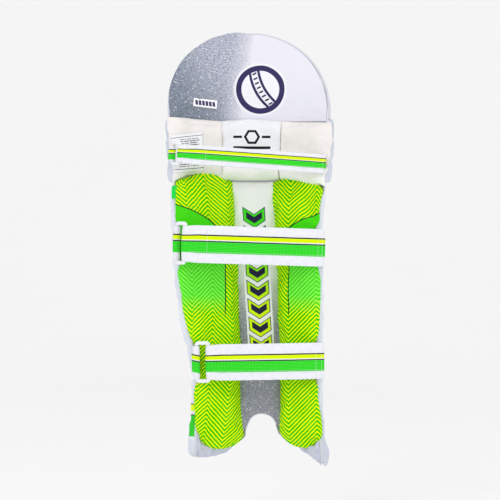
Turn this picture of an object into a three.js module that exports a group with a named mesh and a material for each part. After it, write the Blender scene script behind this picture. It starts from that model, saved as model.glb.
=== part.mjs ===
// A cricket batting leg pad for the left leg: a curved foam shell with caned ribs and knee rolls on its
// batting face, bolsters and a knee locator on its leg side, a flexing top hat, and three straps that each
// pass round a ring and fasten back on themselves with hook and loop.
//
// Frame, in millimetres: the origin is the middle of the wearer's knee, on the leg's axis. +Z runs up the
// leg, +Y points at the bowler, and +X is towards the other leg, so the outer side of the leg is at -X.
import * as THREE from "three";

// ---- Driving dimensions ----
const SEAM_Z = 51; // the sewn line that the top hat flexes on
const TOP_Z = 187; // top of the top hat's panels
const KNEE_LINE = -50; // the sewn line between the shin and the knee
const GAP = 0.6; // between layers that lie on each other
const NOTCH = { shin: 9, hat: 6 }; // how far the wings are cut back from those lines at their rear edges

const CORE_MIDDLE = 8; // thickness of the shin board at the middle of the shin
const CORE_EDGE = 3; // and at its rear edges
const CANE = { width: 18, thick: 3 };
const RIB = { count: 7, thick: 13, spread: 55 }; // spread: how far round the shin the ribs reach, in degrees
const STRAP_THICK = 3.4;
const TAPE_THICK = 1;
const HOOK_THICK = 1.2;
const BAR_R = 2.1; // half the thickness of a ring's bar

// The shell's inner face is half an ellipse at each height: its middle is at x, its front at y, and
// half is its half width, deep its depth, and turn how many degrees it wraps each way.
const SHELL = [
  { z: -525, x: 15, y: 58, half: 105, deep: 58, turn: 80 },
  { z: -470, x: 13, y: 47, half: 101, deep: 62, turn: 83 },
  { z: -410, x: 13, y: 40, half: 97, deep: 66, turn: 84 },
  { z: -360, x: 12, y: 38, half: 97, deep: 68, turn: 84 },
  { z: -310, x: 7, y: 37, half: 102, deep: 71, turn: 84 },
  { z: -260, x: 2, y: 37, half: 107, deep: 73, turn: 84 },
  { z: -190, x: -3, y: 38, half: 111, deep: 74, turn: 84 },
  { z: -125, x: -5, y: 39, half: 113, deep: 74, turn: 84 },
  { z: -56, x: -1, y: 41, half: 122, deep: 72, turn: 82 },
  { z: 0, x: 0, y: 43, half: 131, deep: 66, turn: 76 },
  { z: SEAM_Z, x: -1, y: 46, half: 135, deep: 62, turn: 71 },
  { z: TOP_Z, x: -3, y: 55, half: 145, deep: 52, turn: 66 },
];
// The lower edge, as a height at each x: a wing each side and the arch over the boot between them.
const LOWER_EDGE = [
  [-125, -500],
  [-85, -504],
  [-50, -500],
  [-21, -480],
  [-3, -451],
  [18, -434],
  [38, -441],
  [50, -462],
  [74, -485],
  [105, -506],
  [125, -519],
];

// Bolster outlines: their edges at each height, and how their two ends round off.
const BOLSTERS = {
  outer: {
    thick: 25,
    left: [
      [-491, -87],
      [-440, -91],
      [-380, -91],
      [-313, -95],
      [-262, -108],
      [-193, -116],
      [-40, -120],
    ],
    right: [[-491, -7], [-410, -15], [-312, -16], [-189, -20], [-40, -30]],
    low: { z: -491, at: 0.5, left: [48, 5.4], right: [24, 2.8] },
    high: { z: -40, at: 0.45, left: [-16, 2.2], right: [-14, 2.2] },
  },
  inner: {
    thick: 24,
    left: [[-489, 46], [-410, 50], [-312, 48], [-189, 44], [-49, 37]],
    right: [
      [-489, 120],
      [-410, 115],
      [-370, 111],
      [-312, 113],
      [-235, 117],
      [-98, 116],
      [-49, 120],
    ],
    low: { z: -489, at: 0.65, left: [30, 2.4], right: [15, 3] },
    high: { z: -49, at: 0.45, left: [-5, 2], right: [-18, 2.6] },
  },
};
const LINER_THICK = 4; // centre channel

// Knee locator panels and the small rolls of the cradle below them: x runs from left to right at the top,
// and narrow is how far each side has come in at the bottom.
const KNEE_TOP = SEAM_Z - 1.5;
const KNEE_PADS = {
  knee_locator_outer: { left: -130, right: -45, top: KNEE_TOP, bottom: -34, thick: 17, narrow: [8, 0] },
  knee_locator_centre: { left: -44, right: 54, top: KNEE_TOP, bottom: -23, thick: 15, narrow: [0, 3] },
  knee_locator_inner: { left: 55, right: 132, top: KNEE_TOP, bottom: -28, thick: 17, narrow: [-3, 9] },
  knee_cradle_centre: { left: -43, right: 50, top: -24, bottom: -44, thick: 18, narrow: [0, 0] },
  knee_cradle_inner: { left: 52, right: 122, top: -29, bottom: -44, thick: 18, narrow: [0, 2] },
};
const KNEE_INSERT_THICK = 5;

const KNEE_ROLLS = [
  { name: "knee_roll_lower", low: KNEE_LINE + 2, high: -20, thick: 26 },
  { name: "knee_roll_middle", low: -19, high: 16, thick: 29 },
  { name: "knee_roll_upper", low: 17, high: KNEE_TOP, thick: 27 },
];

const TOP_HAT = { face: 15, foam: 6, liner: 10, halfWidth: 129, roundness: 2.1 };
const BINDING_R = 2.4;

// Straps: z is the middle of the strap half way across, slope its fall towards the inner side in degrees,
// keeper the ring's sewn bar, turn the angle of the ring to the strap, end the x of the tail's end, anchor
// the x of the base band's sewn end, and sewn how far back along the inner wing that end reaches.
const RING_SPAN = 21; // bar to bar
const STRAPS = {
  knee: { z: -16, slope: 3.9, width: 31, keeper: [-126, -34], turn: 58, end: 121, anchor: 121, sewn: -19 },
  calf: { z: -157, slope: 1.8, width: 61, keeper: [-119, -44], turn: 48, end: 113, anchor: 122, sewn: -6 },
  ankle: { z: -347, slope: -0.9, width: 60, keeper: [-87, -36], turn: 10, end: 113, anchor: 123, sewn: -6 },
};

// ---- Shape helpers ----
const rad = THREE.MathUtils.degToRad;

// A smooth curve through [at, value] pairs: the slope at each is the mean of its neighbours'.
function curveThrough(pairs, at) {
  const n = pairs.length;
  if (at <= pairs[0][0]) return pairs[0][1];
  if (at >= pairs[n - 1][0]) return pairs[n - 1][1];
  const i = pairs.findIndex((p) => p[0] > at) - 1;
  const slope = (k) => {
    const a = pairs[Math.max(k - 1, 0)];
    const b = pairs[Math.min(k + 1, n - 1)];
    return (b[1] - a[1]) / (b[0] - a[0]);
  };
  const [x0, y0] = pairs[i];
  const [x1, y1] = pairs[i + 1];
  const h = x1 - x0;
  const t = (at - x0) / h;
  const t2 = t * t;
  const t3 = t2 * t;
  const ends = y0 * (2 * t3 - 3 * t2 + 1) + y1 * (3 * t2 - 2 * t3);
  return ends + slope(i) * h * (t3 - 2 * t2 + t) + slope(i + 1) * h * (t3 - t2);
}

const shellValue = (key, z) => curveThrough(SHELL.map((s) => [s.z, s[key]]), z);
const lowerEdge = (x) => curveThrough(LOWER_EDGE, x);

// The point of the shell at an angle round it, moved by out towards the batting face.
function onShell(angle, z, out) {
  const half = shellValue("half", z);
  const deep = shellValue("deep", z);
  const normal = new THREE.Vector2(deep * Math.sin(angle), half * Math.cos(angle)).normalize();
  return new THREE.Vector3(
    shellValue("x", z) + half * Math.sin(angle) + out * normal.x,
    shellValue("y", z) - deep * (1 - Math.cos(angle)) + out * normal.y,
    z,
  );
}

// The angle round the shell of a place at x, seen from behind.
function angleAt(x, z) {
  const limit = rad(shellValue("turn", z));
  const sine = (x - shellValue("x", z)) / shellValue("half", z);
  return Math.max(-limit, Math.min(limit, Math.asin(Math.max(-1, Math.min(1, sine)))));
}

const edgeShare = (angle, z) => Math.abs(angle) / rad(shellValue("turn", z));
// The batting side of the shin board, which thins towards its rear edges.
const coreOut = (angle, z) => CORE_EDGE + (CORE_MIDDLE - CORE_EDGE) * (1 - edgeShare(angle, z) ** 2);

// A closed body between two grids of points, near(u, v) and far(u, v) with u and v from 0 to 1.
function slab(nu, nv, near, far) {
  const grid = [near, far].map((f) =>
    Array.from({ length: nv + 1 }, (_, j) => Array.from({ length: nu + 1 }, (_, i) => f(i / nu, j / nv))),
  );
  const corners = [];
  const quad = (a, b, c, d) => corners.push(a, b, c, a, c, d);
  const [n, f] = grid;
  for (let j = 0; j < nv; j++)
    for (let i = 0; i < nu; i++) {
      quad(n[j][i], n[j][i + 1], n[j + 1][i + 1], n[j + 1][i]);
      quad(f[j][i], f[j + 1][i], f[j + 1][i + 1], f[j][i + 1]);
    }
  for (let i = 0; i < nu; i++) {
    quad(n[0][i], f[0][i], f[0][i + 1], n[0][i + 1]);
    quad(n[nv][i], n[nv][i + 1], f[nv][i + 1], f[nv][i]);
  }
  for (let j = 0; j < nv; j++) {
    quad(n[j][0], n[j + 1][0], f[j + 1][0], f[j][0]);
    quad(n[j][nu], f[j][nu], f[j + 1][nu], n[j + 1][nu]);
  }
  return facingOut(new THREE.BufferGeometry().setFromPoints(corners));
}

// The same triangles, all turned round if the body is inside out.
function facingOut(geometry) {
  const p = geometry.attributes.position;
  const corner = (i) => new THREE.Vector3().fromBufferAttribute(p, i);
  let volume = 0;
  for (let i = 0; i < p.count; i += 3) volume += corner(i).dot(corner(i + 1).cross(corner(i + 2)));
  if (volume < 0)
    for (let i = 0; i < p.count; i += 3) {
      const [b, c] = [corner(i + 1), corner(i + 2)];
      p.setXYZ(i + 1, c.x, c.y, c.z);
      p.setXYZ(i + 2, b.x, b.y, b.z);
    }
  return geometry;
}

// 0 at both edges and 1 across the middle; a higher power gives squarer shoulders.
const crown = (u, power) => (1 - Math.abs(2 * u - 1) ** power) ** (1 / 2);
const mix = THREE.MathUtils.lerp;

// The polygon of a band of even thickness along a line of points in a plane.
function bandOutline(line, thick) {
  const side = (sign) =>
    line.map((p, i) => {
      const before = line[Math.max(i - 1, 0)];
      const after = line[Math.min(i + 1, line.length - 1)];
      const along = after.clone().sub(before).normalize();
      return new THREE.Vector2(p.x - (sign * along.y * thick) / 2, p.y + (sign * along.x * thick) / 2);
    });
  return [...side(1), ...side(-1).reverse()];
}

// A band that follows a line in the plan view and is width tall, with its middle at height 0.
function band(line, thick, width) {
  const geometry = new THREE.ExtrudeGeometry(new THREE.Shape(bandOutline(line, thick)), {
    depth: width,
    bevelEnabled: false,
    curveSegments: 1,
  });
  return facingOut(geometry.translate(0, 0, -width / 2));
}

const arc = (cx, cy, r, from, to, steps) =>
  Array.from({ length: steps + 1 }, (_, i) => {
    const a = rad(mix(from, to, i / steps));
    return new THREE.Vector2(cx + r * Math.cos(a), cy + r * Math.sin(a));
  });

// ---- Materials ----
const paint = (color, roughness, metalness = 0) =>
  new THREE.MeshStandardMaterial({ color, roughness, metalness });
const WHITE_PU = paint(0xf2f2f4, 0.45);
const SOFT_WHITE = paint(0xf3f1ee, 0.7);
const CHEVRON = paint(0x8ae010, 0.65);
const GREY_PRINT = paint(0xa7a8b4, 0.6);
const FOAM = paint(0xdcdcd0, 0.9);
const CANE_WOOD = paint(0xd2a868, 0.6);
const STRAP_WHITE = paint(0xf0f1f5, 0.8);
const GREEN_TAPE = paint(0x2fd52a, 0.75);
const HOOK = paint(0xe8e8e8, 0.9);
const RING_PLASTIC = paint(0xf4f4f8, 0.35);
const IMPACT = paint(0x303238, 0.5);

const pad = new THREE.Group();
function add(name, geometry, material, parent = pad) {
  const mesh = new THREE.Mesh(geometry, material);
  mesh.name = name;
  parent.add(mesh);
  return mesh;
}

// ---- Shin: board, canes, ribs, wings ----
// The top of the shin's layers, cut back towards the wings' rear edges so that the knee can lean back.
const shinTop = (angle, z) => KNEE_LINE - 1 - NOTCH.shin * edgeShare(angle, z) ** 2;

// A layer on the shin between two angles, from the lower edge up to a height.
function shinLayer(nu, nv, angles, heights, near, far) {
  const place = (out) => (u, v) => {
    const rough = mix(...heights(0, 0), v);
    const [from, to] = angles(rough);
    const angle = mix(from, to, u);
    const [low, high] = heights(onShell(angle, rough, 0).x, angle);
    const z = mix(low, high, v);
    return onShell(angle, z, out(angle, z, u, v));
  };
  return slab(nu, nv, place(near), place(far));
}

const CORE_CLEAR = 4; // the board stops short of the lower edge by this much
add(
  "shin_core",
  shinLayer(
    28,
    14,
    (z) => [-rad(shellValue("turn", z)), rad(shellValue("turn", z))],
    (x, angle) => [lowerEdge(x) + CORE_CLEAR, shinTop(angle, KNEE_LINE)],
    () => 0,
    (angle, z) => coreOut(angle, z),
  ),
  FOAM,
);

const INSTEP_HEIGHT = 26;
const RIB_EDGE = 2.5; // thickness of a rib at its seams
const RIB_SEAM = 0.006; // half the angle left between two ribs, in radians
const ribAngle = (i) => rad(mix(-RIB.spread, RIB.spread, i / RIB.count));
const ribFoot = (x) => lowerEdge(x) + INSTEP_HEIGHT + 1;
const ribBack = (angle, z) => coreOut(angle, z) + CANE.thick + 2 * GAP;
for (let i = 0; i < RIB.count; i++) {
  const [from, to] = [ribAngle(i) + RIB_SEAM, ribAngle(i + 1) - RIB_SEAM];
  const middle = (from + to) / 2;
  add(
    `shin_rib_${i + 1}`,
    shinLayer(
      4,
      7,
      () => [from, to],
      (x, angle) => [ribFoot(x), shinTop(angle, KNEE_LINE) - 2],
      ribBack,
      (angle, z, u, v) =>
        ribBack(angle, z) +
        RIB_EDGE +
        (RIB.thick - RIB_EDGE) * crown(u, 2.4) * crown(mix(0.02, 0.98, v), 14),
    ),
    WHITE_PU,
  );
  const halfCane = (z) => CANE.width / 2 / shellValue("half", z);
  add(
    `cane_${i + 1}`,
    shinLayer(
      4,
      7,
      (z) => [middle - halfCane(z), middle + halfCane(z)],
      (x, angle) => [ribFoot(x) + 6, shinTop(angle, KNEE_LINE) - 8],
      (angle, z) => coreOut(angle, z) + GAP,
      (angle, z) => coreOut(angle, z) + GAP + CANE.thick,
    ),
    CANE_WOOD,
  );
}

add(
  "instep_guard",
  shinLayer(
    28,
    1,
    (z) => [-rad(RIB.spread), rad(RIB.spread)],
    (x) => [lowerEdge(x), lowerEdge(x) + INSTEP_HEIGHT],
    (angle, z) => coreOut(angle, z) + GAP,
    (angle, z) => coreOut(angle, z) + GAP + 6,
  ),
  WHITE_PU,
);

// The wings run from the ribs to the rear edges. The outer one is a full side wing down to the ankle strap.
const wing = (side, thick, foot) =>
  shinLayer(
    5,
    10,
    (z) => [side * (rad(RIB.spread) + 0.02), side * rad(shellValue("turn", z) + 1)],
    foot,
    (angle, z) => coreOut(angle, z) + GAP,
    (angle, z, u, v) => coreOut(angle, z) + GAP + thick * (0.55 + 0.45 * crown(mix(0.05, 0.8, u), 2.5)),
  );
const SIDE_WING_FOOT = -372;
add("side_wing", wing(-1, 7, (x, angle) => [SIDE_WING_FOOT, shinTop(angle, KNEE_LINE)]), WHITE_PU);
add("outer_ankle_wing", wing(-1, 8, (x) => [lowerEdge(x) + 1, SIDE_WING_FOOT - 1]), WHITE_PU);
add("inner_wing", wing(1, 7, (x, angle) => [lowerEdge(x) + 1, shinTop(angle, KNEE_LINE)]), WHITE_PU);

// ---- Leg side: channel liner, bolsters and the boot cups below them ----
function roundedEnd(end, u) {
  const [rise, power] = u < end.at ? end.left : end.right;
  const share = u < end.at ? (end.at - u) / end.at : (u - end.at) / (1 - end.at);
  return end.z + rise * share ** power;
}

function bolster(shape, nu, nv) {
  const place = (inward) => (u, v) => {
    const z = mix(roundedEnd(shape.low, u), roundedEnd(shape.high, u), v);
    const x = mix(curveThrough(shape.left, z), curveThrough(shape.right, z), u);
    return onShell(angleAt(x, z), z, -inward(u, v));
  };
  const fullness = (u, v) => crown(u, 2.6) * crown(v, 12);
  // Its top end stands a little off the board, which leaves the knee room to lean back.
  const near = (u, v) => GAP + 3 * Math.max(0, (v - 0.9) * 10);
  return slab(nu, nv, place(near), place((u, v) => near(u, v) + 3 + (shape.thick - 3) * fullness(u, v)));
}
add("bolster_outer", bolster(BOLSTERS.outer, 8, 14), CHEVRON);
add("bolster_inner", bolster(BOLSTERS.inner, 8, 14), CHEVRON);

const CHANNEL_TOP = KNEE_LINE - 2;
function channelPoint(inward) {
  return (u, v) => {
    const rough = mix(-440, CHANNEL_TOP, v);
    const left = curveThrough(BOLSTERS.outer.right, rough) + 3;
    const right = curveThrough(BOLSTERS.inner.left, rough) - 3;
    const x = mix(left, right, u);
    const z = mix(lowerEdge(x) + 2, CHANNEL_TOP, v);
    return onShell(angleAt(mix(left, right, u), z), z, -inward);
  };
}
add("channel_liner", slab(6, 14, channelPoint(GAP), channelPoint(LINER_THICK)), GREY_PRINT);

// White cups line the wings below the bolsters, down to the lower edge.
function bootCup(shape) {
  const place = (inward) => (u, v) => {
    const high = roundedEnd(shape.low, u) - 4;
    const x = mix(curveThrough(shape.left, high), curveThrough(shape.right, high), u);
    const z = mix(Math.min(lowerEdge(x) + 1, high - 3), high, v);
    return onShell(angleAt(x, z), z, -inward);
  };
  return slab(8, 2, place(GAP), place(5));
}
add("boot_cup_outer", bootCup(BOLSTERS.outer), WHITE_PU);
add("boot_cup_inner", bootCup(BOLSTERS.inner), WHITE_PU);

// ---- Knee: board, locator panels, cradle rolls, impact insert and batting-side rolls ----
const KNEE_BOARD = 6;
const kneeBand = (low, high, near, far, nu, nv) =>
  slab(
    nu,
    nv,
    ...[near, far].map((out) => (u, v) => {
      const z = mix(low, high, v);
      const turn = rad(shellValue("turn", z));
      return onShell(mix(-turn, turn, u), z, out(u, v));
    }),
  );
add("knee_core", kneeBand(KNEE_LINE + 1, KNEE_TOP, () => 0, () => KNEE_BOARD, 28, 4), FOAM);

for (const shape of KNEE_ROLLS)
  add(
    shape.name,
    kneeBand(
      shape.low,
      shape.high,
      () => KNEE_BOARD + GAP,
      (u, v) => KNEE_BOARD + GAP + 3 + (shape.thick - 3) * crown(u, 2.5) * crown(v, 2.2),
      24,
      4,
    ),
    WHITE_PU,
  );

// A pillow on the leg side of the knee board, between two sides that come in towards the bottom.
function kneePad(shape, from, nu = 8, nv = 4) {
  const place = (inward) => (u, v) => {
    const z = mix(shape.bottom, shape.top, v);
    const left = shape.left + shape.narrow[0] * (1 - v);
    const right = shape.right - shape.narrow[1] * (1 - v);
    return onShell(angleAt(mix(left, right, u), z), z, -inward(u, v));
  };
  const fullness = (u, v) => crown(u, 4) * crown(v, 3);
  return slab(nu, nv, place(() => from), place((u, v) => from + 3 + (shape.thick - 3) * fullness(u, v)));
}
const insertDepth = (name) => (name === "knee_locator_centre" ? KNEE_INSERT_THICK + 2 * GAP : GAP);
for (const [name, shape] of Object.entries(KNEE_PADS))
  add(name, kneePad(shape, insertDepth(name)), SOFT_WHITE);

const insert = { left: -34, right: 44, top: 36, bottom: -16 };
const insertFace = (inward) => (u, v) => {
  const z = mix(insert.bottom, insert.top, v);
  return onShell(angleAt(mix(insert.left, insert.right, u), z), z, -inward);
};
add("knee_insert", slab(4, 3, insertFace(GAP), insertFace(GAP + KNEE_INSERT_THICK)), IMPACT);

// ---- Top hat ----
// Rows run up the dome; the last one is short, so the top is a blunt curve.
const HAT_FOOT = SEAM_Z + 1;
const hatHeight = TOP_Z - HAT_FOOT;
const hatRow = (v, trim) => {
  const share = Math.sin((v * Math.PI) / 2 * 0.985);
  const n = TOP_HAT.roundness;
  const half = (TOP_HAT.halfWidth - trim) * (1 - (share * 0.995) ** (n + 0.5)) ** (1 / n);
  return { z: HAT_FOOT + (hatHeight - trim) * share, half };
};
const hatLayer = (nu, nv, near, far, trim = 0) =>
  slab(
    nu,
    nv,
    ...[near, far].map((out) => (u, v) => {
      const row = hatRow(v, trim);
      const z = row.z + NOTCH.hat * (2 * u - 1) ** 2 * (1 - v) ** 3;
      return onShell(angleAt(shellValue("x", z) + mix(-row.half, row.half, u), z), z, out(u, v));
    }),
  );
add("top_hat_foam", hatLayer(20, 8, () => 0, () => TOP_HAT.foam, 6), FOAM);
const HAT_EDGE = 2; // thickness of the liner and of the face at the binding
const hatFullness = (u, v, power) => crown(u, power) * crown(mix(0, 0.94, v), power);
add(
  "top_hat_liner",
  hatLayer(
    20,
    8,
    () => -1.5 * GAP,
    (u, v) => -1.5 * GAP - HAT_EDGE - (TOP_HAT.liner - HAT_EDGE) * hatFullness(u, v, 4),
  ),
  GREY_PRINT,
);
add(
  "top_hat_face",
  hatLayer(
    20,
    8,
    () => TOP_HAT.foam + 2 * GAP,
    (u, v) => TOP_HAT.foam + 2 * GAP + HAT_EDGE + (TOP_HAT.face - HAT_EDGE) * hatFullness(u, v, 3),
  ),
  WHITE_PU,
);
// Round binding that closes the edge of the dome between liner and face.
const BINDING_STEPS = 30;
const BINDING_FOOT = 4; // its two ends stop this far above the hat's lower edge
const bindingLine = Array.from({ length: BINDING_STEPS + 1 }, (_, i) => {
  const t = (2 * i) / BINDING_STEPS - 1;
  const row = hatRow(1 - Math.abs(t), -0.5);
  const x = shellValue("x", row.z) + Math.sign(t || 1) * row.half;
  return onShell(angleAt(x, row.z), row.z, TOP_HAT.foam / 2).add(
    new THREE.Vector3(
      Math.sign(t) * (BINDING_R + 0.8) * (1 - (1 - Math.abs(t)) ** 3),
      0,
      (BINDING_R + 0.8) * (1 - Math.abs(t)) + BINDING_FOOT * Math.abs(t) ** 8,
    ),
  );
});
const roundSection = (r, n) => new THREE.Shape(arc(0, 0, r, 0, 360 - 360 / n, n - 1));
const tube = (points, r, n, steps) =>
  facingOut(
    new THREE.ExtrudeGeometry(roundSection(r, n), {
      extrudePath: new THREE.CatmullRomCurve3(points),
      steps,
      bevelEnabled: false,
    }),
  );
add("top_hat_binding", tube(bindingLine, BINDING_R, 6, 36), WHITE_PU);

// ---- Small trim on the outer side ----
const TAB = { z: -70, height: 21, width: 8, thick: 3, inset: 3 };
const tipOf = (side, z, out = 0) => onShell(side * rad(shellValue("turn", z)), z, out);
const tabTip = tipOf(-1, TAB.z);
add(
  "side_tab",
  new THREE.BoxGeometry(TAB.width, TAB.thick, TAB.height).translate(
    tabTip.x - TAB.inset,
    tabTip.y - TAB.thick,
    TAB.z,
  ),
  GREEN_TAPE,
);

// ---- Straps ----
// Each is built in its own plane and turned by its slope about the middle of the strap.
for (const [name, s] of Object.entries(STRAPS)) {
  const group = new THREE.Group();
  group.position.set(0, 0, s.z);
  group.rotation.y = rad(s.slope);
  pad.add(group);

  const keeper = new THREE.Vector2(...s.keeper);
  const bar = new THREE.Vector2(
    keeper.x + RING_SPAN * Math.cos(rad(s.turn)),
    keeper.y - RING_SPAN * Math.sin(rad(s.turn)),
  );
  const wrap = BAR_R + 0.4 + STRAP_THICK / 2; // from the bar's middle to the band's middle
  const bow = 9; // how far the strap bows away from the leg

  // The rear tip of the inner wing, which the strap passes round to its sewn end.
  const tip = tipOf(1, s.z, 5);
  const tailY = (x) => {
    const t = (x - bar.x) / (s.end - bar.x);
    return mix(bar.y - wrap, tip.y - 19, t) - bow * 4 * t * (1 - t);
  };
  const alongTail = (from, to, steps, offset = 0) =>
    Array.from({ length: steps + 1 }, (_, i) => {
      const x = mix(from, to, i / steps);
      return new THREE.Vector2(x, tailY(x) + offset);
    });

  add(
    `${name}_strap_tail`,
    band([...arc(bar.x, bar.y, wrap, 100, 262, 7), ...alongTail(bar.x + 2, s.end, 8)], STRAP_THICK, s.width),
    STRAP_WHITE,
    group,
  );
  add(
    `${name}_strap_tape`,
    band(alongTail(bar.x + 3, s.end, 8, -(STRAP_THICK + TAPE_THICK) / 2 - GAP), TAPE_THICK, s.width * 0.5),
    GREEN_TAPE,
    group,
  );
  add(
    `${name}_hook_patch`,
    band(
      alongTail(bar.x + 55, s.end - 8, 6, (STRAP_THICK + HOOK_THICK) / 2 + GAP),
      HOOK_THICK,
      Math.min(25, s.width * 0.7),
    ),
    HOOK,
    group,
  );

  // The base band runs under the tail, round the wing's tip and forward along its outer face to its seam.
  const under = STRAP_THICK + HOOK_THICK + 2 * GAP + 0.2;
  const baseEnd = alongTail(bar.x + wrap + 3, s.end - 6, 8, under);
  const corner = baseEnd[baseEnd.length - 1];
  const turnR = s.anchor - corner.x;
  const roundTip = arc(corner.x, corner.y + turnR, turnR, -80, 0, 5);
  add(
    `${name}_strap_base`,
    band([...baseEnd, ...roundTip, new THREE.Vector2(s.anchor + 0.5, s.sewn)], STRAP_THICK, s.width),
    STRAP_WHITE,
    group,
  );

  // The ring: a rounded frame of round bar, its long way upright, with a slot the strap's width tall.
  const ringHalf = s.width / 2 + 4;
  const cornerR = 5;
  const outline = [];
  const ringCorner = (cx, cz, from) => {
    for (const p of arc(cx, cz, cornerR, from, from + 90, 3)) outline.push(p);
  };
  ringCorner(RING_SPAN - cornerR, ringHalf - cornerR, 0);
  ringCorner(cornerR, ringHalf - cornerR, 90);
  ringCorner(cornerR, cornerR - ringHalf, 180);
  ringCorner(RING_SPAN - cornerR, cornerR - ringHalf, 270);
  const ringPoint = (p) =>
    new THREE.Vector3(keeper.x + p.x * Math.cos(rad(s.turn)), keeper.y - p.x * Math.sin(rad(s.turn)), p.y);
  add(`${name}_ring`, closedTube(outline.map(ringPoint), BAR_R, 6, s.turn), RING_PLASTIC, group);

  // The keeper: a band sewn to the rear edge of the wing, round the ring's bar and back on itself.
  const root = tipOf(-1, s.z, 5);
  const keeperWrap = BAR_R + 0.4 + 1.1;
  add(
    `${name}_keeper`,
    band(
      [
        new THREE.Vector2(root.x - 1, root.y - 3.5),
        ...arc(keeper.x, keeper.y, keeperWrap, 185, 420, 9),
        new THREE.Vector2(keeper.x + 1.2, keeper.y + keeperWrap + 3.5),
      ],
      2.2,
      s.width - 2,
    ),
    STRAP_WHITE,
    group,
  );
}

// A closed ring of round bar through points that lie in one upright plane.
function closedTube(points, r, n, turn) {
  const side = new THREE.Vector3(Math.sin(rad(turn)), Math.cos(rad(turn)), 0);
  const count = points.length;
  const rings = points.map((p, i) => {
    const along = points[(i + 1) % count].clone().sub(points[(i + count - 1) % count]).normalize();
    const across = along.clone().cross(side);
    return Array.from({ length: n }, (_, k) => {
      const a = (2 * Math.PI * (k + 0.5)) / n;
      return p.clone().addScaledVector(side, r * Math.cos(a)).addScaledVector(across, r * Math.sin(a));
    });
  });
  const corners = [];
  for (let i = 0; i < count; i++)
    for (let k = 0; k < n; k++) {
      const [a, b] = [rings[i], rings[(i + 1) % count]];
      const next = (k + 1) % n;
      corners.push(a[k], b[k], b[next], a[k], b[next], a[next]);
    }
  return facingOut(new THREE.BufferGeometry().setFromPoints(corners));
}

export default pad;
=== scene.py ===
"""A cricket batting pad for the left leg, dressed in padded fabric, print, webbing and stitching.

Lengths are in millimetres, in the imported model's frame, until a mesh is made. The origin is the middle of
the knee, +Z runs up the leg, +Y faces the bowler, and the outer side of the leg is at -X.
"""

import bpy
import math
import numpy as np
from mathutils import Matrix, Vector
from mathutils.bvhtree import BVHTree


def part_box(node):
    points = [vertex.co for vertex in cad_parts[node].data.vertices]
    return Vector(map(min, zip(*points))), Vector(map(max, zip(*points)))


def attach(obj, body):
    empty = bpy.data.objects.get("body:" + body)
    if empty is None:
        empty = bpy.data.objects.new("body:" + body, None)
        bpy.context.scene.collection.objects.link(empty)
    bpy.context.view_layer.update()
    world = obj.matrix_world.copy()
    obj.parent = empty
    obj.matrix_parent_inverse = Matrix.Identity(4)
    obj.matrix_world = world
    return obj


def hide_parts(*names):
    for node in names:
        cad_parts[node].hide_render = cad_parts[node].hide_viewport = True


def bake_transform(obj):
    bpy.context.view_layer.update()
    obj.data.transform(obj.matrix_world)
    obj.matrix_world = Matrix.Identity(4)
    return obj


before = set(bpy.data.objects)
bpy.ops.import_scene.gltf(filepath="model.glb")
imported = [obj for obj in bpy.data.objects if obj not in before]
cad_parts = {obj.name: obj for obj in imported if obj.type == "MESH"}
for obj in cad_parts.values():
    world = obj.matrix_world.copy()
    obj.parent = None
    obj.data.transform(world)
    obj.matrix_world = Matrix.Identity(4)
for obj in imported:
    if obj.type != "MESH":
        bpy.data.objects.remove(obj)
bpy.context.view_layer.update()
SCENE = bpy.context.scene
MM = 0.001

# ---- The shell that every piece lies on ----
# At each height z, its leg side is half an ellipse: x and y place its front, half and deep are its half width
# and depth, and turn is how many degrees it wraps each way.
SHELL = np.array([
    # z, x, y, half, deep, turn
    (-525, 15, 58, 105, 58, 80),
    (-470, 13, 47, 101, 62, 83),
    (-410, 13, 40, 97, 66, 84),
    (-360, 12, 38, 97, 68, 84),
    (-310, 7, 37, 102, 71, 84),
    (-260, 2, 37, 107, 73, 84),
    (-190, -3, 38, 111, 74, 84),
    (-125, -5, 39, 113, 74, 84),
    (-56, -1, 41, 122, 72, 82),
    (0, 0, 43, 131, 66, 76),
    (51, -1, 46, 135, 62, 71),
    (187, -3, 55, 145, 52, 66),
], float)
X, Y, HALF, DEEP, TURN = range(1, 6)  # the shell's columns after z
KNEE_LINE, SEAM_Z, TOP_Z = -50, 51, 187  # the two sewn hinges, and the top of the hat's panels
LOWER_EDGE = [
    (-125, -500), (-85, -504), (-50, -500), (-21, -480), (-9, -464), (-3, -448), (5, -438), (18, -434),
    (32, -437), (40, -444), (49, -461), (60, -473), (74, -485), (105, -506), (125, -519),
]
CORE_MIDDLE, CORE_EDGE = 8, 3  # the board's thickness
RIB_SPREAD, RIB_COUNT = 55, 7  # degrees each way from the middle, and how many ribs


def curve_through(pairs, at):
    """A smooth curve through (at, value) pairs."""
    pairs = np.asarray(pairs, float)
    x, y = pairs[:, 0], pairs[:, 1]
    n = len(x)
    before, after = np.maximum(np.arange(n) - 1, 0), np.minimum(np.arange(n) + 1, n - 1)
    slope = (y[after] - y[before]) / (x[after] - x[before])
    at = np.clip(np.asarray(at, float), x[0], x[-1])
    i = np.clip(np.searchsorted(x, at, side="right") - 1, 0, n - 2)
    h = x[i + 1] - x[i]
    t = (at - x[i]) / h
    return (
        y[i] * (2 * t**3 - 3 * t**2 + 1)
        + slope[i] * h * (t**3 - 2 * t**2 + t)
        + y[i + 1] * (3 * t**2 - 2 * t**3)
        + slope[i + 1] * h * (t**3 - t**2)
    )


def shell_value(column, z):
    """One of the shell's measures at a height."""
    return curve_through(SHELL[:, [0, column]], z)


def half_at(z):
    return shell_value(HALF, z)


def turn_at(z):
    return np.radians(shell_value(TURN, z))


def lower_edge(x):
    return curve_through(LOWER_EDGE, x)


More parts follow.
